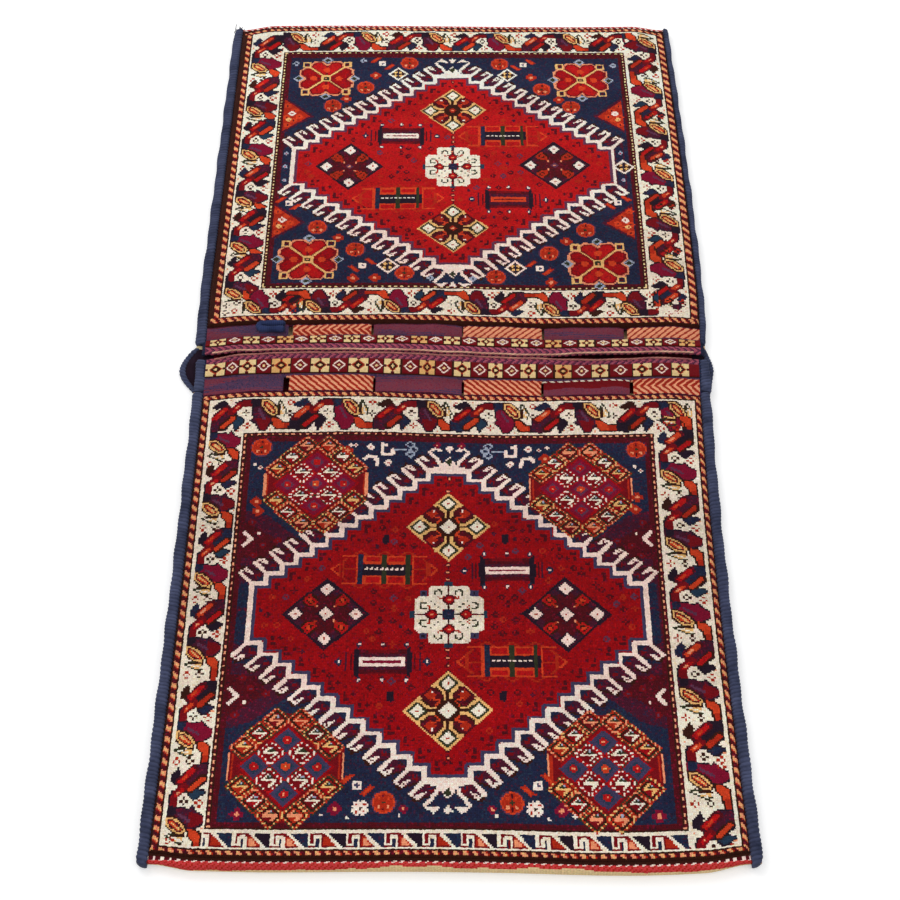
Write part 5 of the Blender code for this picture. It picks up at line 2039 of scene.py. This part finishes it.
    def cut_slits(self, piece: bpy.types.Object, uc: np.ndarray, qc: np.ndarray) -> None:
        """Takes the faces out of the closure slits.

        Args:
            piece: the laid sheet.
            uc, qc: the places of its cells.
        """
        p = self.pocket
        rows, columns = uc.shape
        j, i = cell_places(piece, rows, columns)
        u, q = uc[j, i], qc[j, i]
        low, high = p.band - p.closure + 0.0015, p.band - 0.0015
        gone = np.zeros(len(u), bool)
        x = plan_across(u, p.mouth_half)
        for place, wide in self.slits:
            gone |= (np.abs(x - place) < wide / 2) & (q > low) & (q < high)
        bpy.ops.object.mode_set(mode="EDIT")
        bpy.ops.mesh.select_all(action="DESELECT")
        bpy.ops.object.mode_set(mode="OBJECT")
        piece.data.polygons.foreach_set("select", gone)
        bpy.ops.object.mode_set(mode="EDIT")
        bpy.ops.mesh.select_mode(type="FACE")
        bpy.ops.mesh.delete(type="FACE")
        bpy.ops.object.mode_set(mode="OBJECT")


@dataclass
class StripCloth:
    """The ground cloth of the whole strip: under both faces, round the folds, the back and the bridge."""

    columns: int = 64
    flat: tuple[float, float] = (0.607, 2.52)

    def rows(self) -> list[tuple[np.ndarray, Wool, float]]:
        """The rows of the strip with the wool and the distance into the end band of each.

        Returns:
            Each row's points, wool and distance, which is 1 on the back and -1 on the bridge.
        """
        u = self.across()
        made: list[tuple[np.ndarray, Wool, float]] = []
        for pocket in (REAR, FRONT):
            part: list[tuple[np.ndarray, Wool, float]] = []
            for q in np.linspace(pocket.band - 0.001, pocket.pile_end - 0.001, 56):
                part.append((pocket.face(u, q), BROWN, 0.0))
            for q in np.linspace(pocket.pile_end, pocket.tip - FOLD_RADIUS, 5):
                part.append((pocket.face(u, q), BROWN, q - pocket.pile_end))
            for step in range(1, 15):
                angle = math.pi / 2 - math.pi * step / 14
                arc = pocket.end_band - FOLD_RADIUS + FOLD_RADIUS * (math.pi / 2 - angle)
                part.append((pocket.fold(u, angle), TAN, arc))
            for q in np.linspace(pocket.tip - FOLD_RADIUS - 0.004, pocket.seam_start, 60):
                part.append((pocket.back(u, q), TAN, 1.0))
            made += part if pocket is REAR else [*self.bridge(u), *part[::-1]]
        return made

    def across(self) -> np.ndarray:
        """The places across, closer together at the falling edges.

        Returns:
            Places from -1 to 1 over the knots, and to 2 at the edges.
        """
        inner = np.linspace(-0.84, 0.84, self.columns)
        edge = np.linspace(0.85, 1, 10)
        return np.concatenate([[-2.0, -1.5], -edge[::-1], inner, edge, [1.5, 2.0]])

    def bridge(self, u: np.ndarray) -> list[tuple[np.ndarray, Wool, float]]:
        """The rows of the bridge between the pockets.

        Args:
            u: places across.

        Returns:
            Each row's points, wool and mark.
        """
        rows = []
        for pocket, shares in ((REAR, (0.1, 0.3, 0.5, 0.7, 0.9, 1.0)), (FRONT, (0.9, 0.7, 0.5, 0.3, 0.1))):
            for t in shares:
                half, left, y = bridge_edge(pocket, -1, t)
                right = bridge_edge(pocket, 1, t)[1]
                reach = np.clip(u, -1, 1) * half
                w = ease((np.abs(reach) - half + EDGE_FALL) / EDGE_FALL)
                extra = np.where(u < 0, -left, right) * np.maximum(np.abs(u) - 1, 0)
                row = np.stack([CENTRE_LINE + reach + extra, y + 0 * u, BRIDGE_LIFT * w], axis=-1)
                rows.append((row, DARK_RED, -1.0))
        return rows

    def build(self) -> bpy.types.Object:
        """Builds and dresses the strip.

        Returns:
            The object.
        """
        rows = self.rows()
        points = np.array([row for row, _, _ in rows])
        marks = np.array([mark for _, _, mark in rows])
        numbers = np.zeros((len(rows) - 1, points.shape[1] - 1), int)
        x = (points[0, :-1, 0] + points[0, 1:, 0]) / 2 * 1000
        for j in range(len(rows) - 1):
            mark = max(marks[j], marks[j + 1])
            wool = rows[j][1] if mark < 0.5 else TAN
            numbers[j] = wool.number
            if 0 < mark < 0.5:
                numbers[j] = self.end_wool(mark).number
            if mark < 0:
                edge = np.abs(points[j, :-1, 0] + points[j, 1:, 0] - 2 * CENTRE_LINE) / 2 > 0.287
                numbers[j] = np.where(edge, INK.number, DARK_RED.number)
        piece = laid_sheet("strip_cloth", points)
        painted(piece, dyed(numbers, 41, 0.05))
        thickened(piece, CLOTH)
        finished(piece, ["woven_strip"], FlatWeave(240, 1900, 0.0005).make("strip_weave"))
        log.info("strip cloth runs %.0f mm across", x.max() - x.min())
        return piece

    def end_wool(self, arc: float) -> Wool:
        """The wool of the end band at this distance past the knots.

        Args:
            arc: the distance, in metres.

        Returns:
            Its wool.
        """
        if arc < 0.0022:
            return BROWN
        return END_RED if arc < 0.0125 else TAN


@dataclass
class EndBand:
    """The band past the knots: a brown line, white ticks, red twining, and tan weave that rolls under."""

    pocket: Pocket
    reach: float = 0.0215
    columns: int = 420
    rows: int = 22

    def build(self) -> bpy.types.Object:
        """Builds and dresses the band.

        Returns:
            The object.
        """
        p = self.pocket
        u = np.linspace(-1.3, 1.3, self.columns + 1)
        arc = np.linspace(-0.0008, self.reach, self.rows + 1)
        flat = p.end_band - FOLD_RADIUS
        rows = []
        for i, s in enumerate(arc):
            x = u * p.end_half * 1000
            twist = np.sin(2 * np.pi * (x + s * 1200) / 5.2) * 0.00035 * (0.004 < s < 0.0125)
            share = min(max((s - 0.004) / 0.0075, 0), 1)
            raised = 0.0004 + 0.0012 * math.sqrt(max(0.0, math.sin(math.pi * share))) + twist
            raised = raised * (0 < i < self.rows) - 0.0006 * (i in (0, self.rows))
            if s < flat:
                rows.append(p.face(u, p.pile_end + s, raised))
            else:
                rows.append(p.fold(u, math.pi / 2 - (s - flat) / FOLD_RADIUS, raised))
        middle = (u[:-1] + u[1:]) / 2
        xx, ss = np.meshgrid(middle * p.end_half * 1000, (arc[:-1] + arc[1:]) / 2 * 1000)
        bare = 8.4 + 4.5 * (1 - np.exp(-(((xx - 45) / 190) ** 4)))
        bare = bare + 0.8 * np.sin(xx / 23) + 0.5 * np.sin(xx / 7)
        numbers = np.full(xx.shape, TAN.number)
        numbers[ss < bare] = END_RED.number
        numbers[(ss > 5) & (ss < bare) & (((xx + ss * 1.2) / 5.2) % 1 < 0.3)] = RUST.number
        numbers[ss < 4.4] = DARK_RED.number
        ticks = (ss > 3.7) & (ss < 5.3) & (((xx + 1.6 * ss) / 8.0) % 1 < 0.36)
        numbers[ticks] = PINK_WHITE.number
        numbers[ss < 3.0] = BROWN.number
        piece = laid_sheet(f"{p.name}_end_band", p.facing_up(np.array(rows)))
        painted(piece, p.facing_up(dyed(numbers, 51 + p.side, 0.06)))
        weave = FlatWeave(260, 16, 0.0005).make(f"{p.name}_end_weave")
        return finished(piece, ["woven_strip"], weave)


def wound_piece(name: str, rings: np.ndarray, wound: np.ndarray) -> bpy.types.Object:
    """A closed piece through rings of points.

    Args:
        name: the piece's name.
        rings: the rings, each with its points.
        wound: for each point, 0 in the groove between two turns of yarn and 1 on a turn; the yarn's material
            uses it for painted shade in the grooves.

    Returns:
        The object.
    """
    count, sides, _ = rings.shape
    faces = [
        (i * sides + k, i * sides + (k + 1) % sides, (i + 1) * sides + (k + 1) % sides, (i + 1) * sides + k)
        for i in range(count - 1)
        for k in range(sides)
    ]
    faces += [tuple(range(sides)), tuple((count - 1) * sides + k for k in range(sides))]
    mesh = bpy.data.meshes.new(name)
    mesh.from_pydata(rings.reshape(-1, 3).tolist(), [], faces)
    mesh.attributes.new("wound", "FLOAT", "POINT").data.foreach_set("value", np.clip(wound, 0, 1).ravel())
    bm = bmesh.new()
    bm.from_mesh(mesh)
    bmesh.ops.recalc_face_normals(bm, faces=bm.faces)
    bm.to_mesh(mesh)
    bm.free()
    mesh.polygons.foreach_set("use_smooth", [True] * len(mesh.polygons))
    piece = bpy.data.objects.new(name, mesh)
    bpy.context.scene.collection.objects.link(piece)
    return piece


def tube(name: str, path: np.ndarray, radii: np.ndarray, sides: int) -> bpy.types.Object:
    """A round yarn or cord along a path.

    Args:
        name: the piece's name.
        path: its centre line.
        radii: for each point, the radius, or the radius at each of the sides.
        sides: points round it.

    Returns:
        The object, closed at both ends.
    """
    ahead = np.gradient(path, axis=0)
    ahead /= np.maximum(np.linalg.norm(ahead, axis=1), 1e-9)[:, None]
    across = np.cross(ahead, (0, 0, 1.0))
    across[np.linalg.norm(across, axis=1) < 1e-3] = (1.0, 0, 0)
    across /= np.linalg.norm(across, axis=1)[:, None]
    up = np.cross(across, ahead)
    angle = np.arange(sides)[None, :, None] * 2 * math.pi / sides
    radii = radii if radii.ndim == 2 else np.repeat(radii[:, None], sides, axis=1)
    outwards = across[:, None] * np.cos(angle) + up[:, None] * np.sin(angle)
    rings = path[:, None] + radii[..., None] * outwards
    # Thin places count as grooves, which the yarn's material darkens as painted shade.
    low, high = np.percentile(radii, (5, 95))
    return wound_piece(name, rings, (radii - low) / max(high - low, 1e-9))


@dataclass
class Overcasting:
    """Navy yarn wound over an edge, turn beside turn."""

    name: str
    nodes: list[str]
    side: int
    lean: float = 0.35
    turn: float = 0.0046
    ridge: float = 0.0012
    ends_in: float = 0.0
    around: int = 20
    stations: list[tuple[float, float, float, float, float]] = field(default_factory=list)

    def section(self, lip: float, outer: float, low: float, top: float) -> list[tuple[float, float, float]]:
        """The rounded outline of the binding.

        Args:
            lip, outer: where it starts and ends across.
            low, top: its heights.

        Returns:
            Places across and up, with the share of the way round.
        """
        made = []
        for k in range(self.around):
            angle = 2 * math.pi * k / self.around
            ca, sa = math.cos(angle), math.sin(angle)
            x = (lip + outer) / 2 + (outer - lip) / 2 * math.copysign(abs(ca) ** 0.62, ca)
            z = (low + top) / 2 + (top - low) / 2 * math.copysign(abs(sa) ** 0.72, sa)
            made.append((x, z, k / self.around))
        return made

    def build(self, material: bpy.types.Material) -> bpy.types.Object:
        """Builds and dresses the binding through its stations.

        Args:
            material: the yarn.

        Returns:
            The object.
        """
        table = np.array(self.stations)
        lengths = np.concatenate([[0], np.cumsum(np.abs(np.diff(table[:, 0])))])
        count = max(8, round(lengths[-1] / self.turn * 4))
        at = np.linspace(0, lengths[-1], count + 1)
        y, lip, outer, low, top = (np.interp(at, lengths, table[:, k]) for k in range(5))
        outer = outer - 0.0009 * (1 + np.sin(at * 38 + self.side) * np.sin(at * 101 + 1))
        top = top - 0.0005 * (1 + np.sin(at * 57 + 2))
        last = np.clip((at - lengths[-1] + 0.012) / 0.012, 0, 1)
        outer = outer - self.ends_in * (1 - np.sqrt(np.maximum(1 - last**2, 0)))
        rings, wound = [], []
        for i in range(count + 1):
            end = min(at[i], lengths[-1] - at[i])
            close = math.sqrt(min(1.0, (end + 0.0004) / 0.004))
            mx, mz = (lip[i] + outer[i]) / 2, (low[i] + top[i]) / 2
            for x, z, share in self.section(lip[i], outer[i], low[i], top[i]):
                slant = self.lean * math.cos(2 * math.pi * share)
                phase = at[i] / self.turn + slant + 0.3 * math.sin(at[i] * 61)
                phase += 0.2 * math.sin(at[i] * 173 + 2)
                turned = abs(math.sin(math.pi * phase))
                dx, dz = x - mx, z - mz
                size = max(math.hypot(dx, dz), 1e-6)
                grow = (1 + self.ridge * (turned - 0.72) / size) * (0.55 + 0.45 * close)
                rings.append((CENTRE_LINE + self.side * (mx + dx * grow), y[i], max(mz + dz * grow, 0.0)))
                # How far each point stands up on its turn, for the material's painted shade in the grooves.
                wound.append(turned * (0.8 + 0.2 * math.sin(phase * 1.7 + 1)))
        piece = wound_piece(self.name, np.array(rings).reshape(count + 1, self.around, 3), np.array(wound))
        return finished(piece, self.nodes, material)


def seam_binding(pocket: Pocket, side: int) -> Overcasting:
    """The binding that closes one side of a pocket.

    Args:
        pocket: the pocket.
        side: -1 on the left and 1 on the right.

    Returns:
        The binding, with its stations.
    """
    width = pocket.seam_left if side < 0 else pocket.seam_right
    hand = "left" if side < 0 else "right"
    made = Overcasting(f"{pocket.name}_{hand}_binding", [f"{pocket.name}_{hand}_seam_binding"], side)
    made.ends_in = width * 0.42
    end = pocket.tip - CORNER_DRAW
    for q in np.linspace(pocket.seam_start, end + 0.0028, 40):
        half = pocket.half(q) + side * pocket.offset(q)
        made.stations.append((pocket.along(q), half + 0.0004, half + width + 0.0002, 0.0, 0.0128))
    return made


def flap_binding(side: int) -> Overcasting:
    """The wrapped selvedge of the front pocket's mouth.

    Args:
        side: -1 on the left and 1 on the right.

    Returns:
        The binding, with its stations.
    """
    width = FRONT.seam_left if side < 0 else FRONT.seam_right
    hand = "left" if side < 0 else "right"
    made = Overcasting(f"front_{hand}_flap_binding", [f"front_{hand}_mouth_selvedge"], side)
    for q in np.linspace(-0.0005, FRONT.seam_start - 0.0004, 8):
        half = FRONT.half(q)
        made.stations.append((FRONT.along(q), half + 0.0004, half + width, 0.0064, 0.0136))
    return made


def bridge_binding(side: int) -> Overcasting:
    """The wrapped selvedge of the bridge, where it bulges out.

    Args:
        side: -1 on the left and 1 on the right.

    Returns:
        The binding, with its stations.
    """
    hand = "left" if side < 0 else "right"
    made = Overcasting(f"bridge_{hand}_binding", [f"bridge_{hand}_selvedge"], side)
    for pocket, shares in ((REAR, np.linspace(0.05, 1, 9)), (FRONT, np.linspace(0.9, 0.05, 9))):
        for t in shares:
            half, bare, y = bridge_edge(pocket, side, t)
            outer = half + bare + BRIDGE_WRAP
            made.stations.append((y, outer - 0.008, outer, 0.0, 0.0064))
    return made


@dataclass
class MouthCord:
    """The thin two-ply cord sewn along a mouth."""

    pocket: Pocket
    radius: float = 0.0011
    inset: float = 0.0016

    def build(self, material: bpy.types.Material) -> bpy.types.Object:
        """Builds and dresses the cord.

        Args:
            material: the yarn.

        Returns:
            The object.
        """
        u = np.linspace(-0.97, 0.97, 520)
        path = self.pocket.face(u, self.inset, 0.0014 + self.radius * 0.8 + 0.0003 * np.sin(u * 41))
        run = np.linspace(0, 1.94 * self.pocket.mouth_half, len(u))
        angle = np.arange(8) * 2 * np.pi / 8
        radii = self.radius * (0.86 + 0.22 * np.abs(np.cos(angle[None, :] - run[:, None] * np.pi / 0.0052)))
        piece = tube(f"{self.pocket.name}_cord", path, radii, 8)
        return finished(piece, [f"{self.pocket.name}_mouth_cord"], material)


@dataclass
class ClosureLoop:
    """The blue wrapped loop on the rear band."""

    radius: float = 0.0041
    length: float = 0.032

    def build(self, material: bpy.types.Material) -> bpy.types.Object:
        """Builds and dresses the loop.

        Args:
            material: the yarn.

        Returns:
            The object.
        """
        q = REAR.band - REAR.closure / 2
        x, y, z = REAR.face(LOOP_PLACE, q, 0.0008)
        level = z + 0.0009 + self.radius * 0.9
        spread = self.radius * 1.04
        y += 0.0015
        angles = np.linspace(-math.pi / 2, -3 * math.pi / 2, 24)
        start = x - self.length + spread
        legs = np.linspace(x - 0.001, start, 22)
        path = [(a, y - spread, level) for a in legs]
        path += [(start + spread * math.cos(a), y + spread * math.sin(a), level) for a in angles[1:-1]]
        path += [(a, y + spread, level) for a in legs[::-1]]
        path = np.array(path)
        run = np.concatenate([[0], np.cumsum(np.linalg.norm(np.diff(path, axis=0), axis=1))])
        fine = np.linspace(0, run[-1], 150)
        path = np.stack([np.interp(fine, run, path[:, k]) for k in range(3)], axis=-1)
        turns = np.abs(np.sin(fine * math.pi / 0.0023))
        radii = self.radius * (0.86 + 0.16 * turns + 0.07 * np.sin(fine * 260))
        radii *= np.sqrt(np.clip(np.minimum(fine, run[-1] - fine) / 0.003 + 0.15, 0, 1))
        piece = tube("wrapped_loop", path, radii, 14)
        return finished(piece, ["closure_loop"], material)


@dataclass
class FrayedYarn:
    """The frayed end of the binding at the rear left corner."""

    strands: int = 22

    def build(self, material: bpy.types.Material) -> bpy.types.Object:
        """Builds and dresses the strands.

        Args:
            material: the yarn.

        Returns:
            The object.
        """
        rng = np.random.default_rng(3)
        pieces = []
        root = np.array((CENTRE_LINE - REAR.end_half - 0.006, REAR.along(REAR.tip) - 0.010, 0.0065))
        for i in range(self.strands):
            start = root + rng.normal(0, 1, 3) * (0.0024, 0.0022, 0.0014)
            reach = np.array([rng.uniform(*ends) for ends in ((-0.006, 0.005), (0.004, 0.011),
                                                              (-0.003, 0.005))])
            t = np.linspace(0, 1, 9)[:, None]
            bow = np.sin(np.pi * t) * rng.normal(0, 0.0022, 3)
            path = start + t * reach + bow
            path[:, 2] = np.maximum(path[:, 2], 0.001)
            radii = 0.0006 * (1 - 0.6 * t[:, 0])
            pieces.append(tube(f"strand_{i}", path, radii, 5))
        bpy.ops.object.select_all(action="DESELECT")
        for piece in pieces:
            piece.select_set(True)
        bpy.context.view_layer.objects.active = pieces[0]
        bpy.ops.object.join()
        pieces[0].name = "frayed_corner_yarn"
        return finished(pieces[0], [], material)


# ---------------------------------------------------------------- studio


@dataclass(frozen=True)
class Studio:
    """The floor, the lights and the camera."""

    sky: float = 0.70
    key: float = 20.0
    fill: float = 6.0
    lens: float = 72.0
    shift: float = -0.0045
    tilt: float = 52.969
    place: tuple[float, float, float] = (0.007, -1.349, 1.6485)

    def build(self) -> None:
        """Sets up the studio."""
        self.floor()
        self.lights()
        self.camera()

    def floor(self) -> None:
        """Adds the pale floor, which keeps the bag's shadow."""
        bpy.ops.object.select_all(action="DESELECT")
        bpy.ops.mesh.primitive_plane_add(size=14, location=(0, 0, -0.0002))
        floor = bpy.context.object
        floor.name = "floor"
        bench = Bench("pale_floor")
        bench.shader.inputs["Base Color"].default_value = (0.8, 0.8, 0.8, 1)
        bench.shader.inputs["Roughness"].default_value = 0.9
        seen = bench.node("ShaderNodeLightPath").outputs["Is Camera Ray"]
        bench.shader.inputs["Emission Color"].default_value = (1, 1, 1, 1)
        bench.put(bench.shader.inputs["Emission Strength"], Value(bench, seen) * 0.38)
        floor.data.materials.append(bench.material)

    def lights(self) -> None:
        """Adds the soft lights and the white surroundings."""
        world = bpy.data.worlds.new("studio")
        bpy.context.scene.world = world
        world.use_nodes = True
        tree = world.node_tree
        ground = tree.nodes["Background"]
        path = tree.nodes.new("ShaderNodeLightPath")
        blend = tree.nodes.new("ShaderNodeMix")
        seen = path.outputs["Is Camera Ray"]
        for ray in ("Is Glossy Ray", "Is Transmission Ray"):
            either = tree.nodes.new("ShaderNodeMath")
            either.operation = "MAXIMUM"
            tree.links.new(seen, either.inputs[0])
            tree.links.new(path.outputs[ray], either.inputs[1])
            seen = either.outputs[0]
        tree.links.new(seen, blend.inputs[0])
        blend.inputs[2].default_value = self.sky
        blend.inputs[3].default_value = 1.0
        tree.links.new(blend.outputs[0], ground.inputs["Strength"])
        ground.inputs["Color"].default_value = (1, 1, 1, 1)
        for name, place, power, size in (
            ("key", (-1.3, 1.2, 2.4), self.key, 1.6),
            ("fill", (1.6, -1.2, 2.2), self.fill, 2.2),
        ):
            lamp = bpy.data.lights.new(name, "AREA")
            lamp.energy = power
            lamp.size = size
            made = bpy.data.objects.new(name, lamp)
            bpy.context.scene.collection.objects.link(made)
            made.location = place
            direction = -np.array(place)
            flat = math.hypot(direction[0], direction[1])
            turn = math.atan2(direction[1], direction[0]) - math.pi / 2
            made.rotation_euler = (math.atan2(flat, -direction[2]), 0, turn)

    def camera(self) -> None:
        """Adds the camera at the photograph's place."""
        data = bpy.data.cameras.new("camera")
        data.lens = self.lens
        data.sensor_width = 36
        data.shift_x = self.shift
        data.clip_start = 0.05
        made = bpy.data.objects.new("camera", data)
        bpy.context.scene.collection.objects.link(made)
        made.location = self.place
        made.rotation_euler = (math.radians(90 - self.tilt), 0, 0)
        bpy.context.scene.camera = made
        bpy.context.scene.view_settings.view_transform = "Standard"


# Painted sheen: the rear face grows lighter towards its far end, as shares of the rows with their
# brightness.
REAR_PAINTED_SHEEN = ((0, 0.97), (0.15, 0.97), (0.3, 1.04), (0.6, 1.09), (0.8, 1.12), (1.0, 1.17))
# The front face is darker across its middle rows and lighter towards its far end.
FRONT_BRIGHTNESS_BY_ROW = ((0, 0.97), (0.2, 0.96), (0.3, 0.9), (0.5, 0.87), (0.62, 1.0), (0.78, 1.07), (1.0, 1.09))
REAR_SQUARES = [(34 + 40.6 * i, 53 + 40.6 * i) for i in range(15)]
FRONT_SQUARES = [(35, 58), (75, 94), (114, 135), (160, 182), (205, 228), (248, 267), (290, 307)]
FRONT_SQUARES += [(330, 350), (372, 388), (410, 428), (450, 470), (494, 514), (543, 565), (590, 610)]
REAR_BLOCKS = (
    (0, 131, ClosureKind.MOTTLED), (131, 230, ClosureKind.POINTED),
    (230, 340, ClosureKind.PLAIN), (340, 438, ClosureKind.SLANTING),
    (438, 538, ClosureKind.PLAIN), (538, 700, ClosureKind.SLANTING),
)
FRONT_BLOCKS = (
    (0, 132, ClosureKind.MOTTLED), (132, 237, ClosureKind.SLANTING),
    (237, 341, ClosureKind.PLAIN), (341, 436, ClosureKind.SLANTING),
    (436, 541, ClosureKind.DASHED), (541, 700, ClosureKind.POINTED),
)


def main() -> None:
    """Builds the whole bag, part by part."""
    logging.basicConfig(level=logging.INFO, format="%(message)s")
    Studio().build()
    binding = WrappedYarn((33, 38, 60), (82, 88, 118)).make("binding_wool")
    cords = {
        REAR: WrappedYarn((168, 96, 88), (238, 196, 164)).make("rear_cord_wool"),
        FRONT: WrappedYarn((120, 60, 76), (204, 138, 118)).make("front_cord_wool"),
    }
    loop = WrappedYarn((24, 32, 68), (58, 70, 110)).make("loop_wool")
    frayed = WrappedYarn((44, 44, 54), (86, 88, 100)).make("frayed_wool")
    strip = StripCloth()
    cloth = strip.build()
    on_it = [
        KnottedFace(REAR, rear_face(), REAR_PAINTED_SHEEN).build(),
        KnottedFace(FRONT, front_face(), FRONT_BRIGHTNESS_BY_ROW).build(),
        MouthBand(REAR, REAR_SQUARES, REAR_BLOCKS, twine=10.5).build(),
        MouthBand(FRONT, FRONT_SQUARES, FRONT_BLOCKS, twine=7.5).build(),
        EndBand(REAR).build(),
        EndBand(FRONT).build(),
    ]
    for side in (-1, 1):
        for pocket in (REAR, FRONT):
            on_it.append(seam_binding(pocket, side).build(binding))
        on_it.append(flap_binding(side).build(binding))
        on_it.append(bridge_binding(side).build(binding))
    for pocket in (REAR, FRONT):
        on_it.append(MouthCord(pocket).build(cords[pocket]))
    on_it.append(ClosureLoop().build(loop))
    on_it.append(FrayedYarn().build(frayed))


if __name__ == "__main__":
    main()
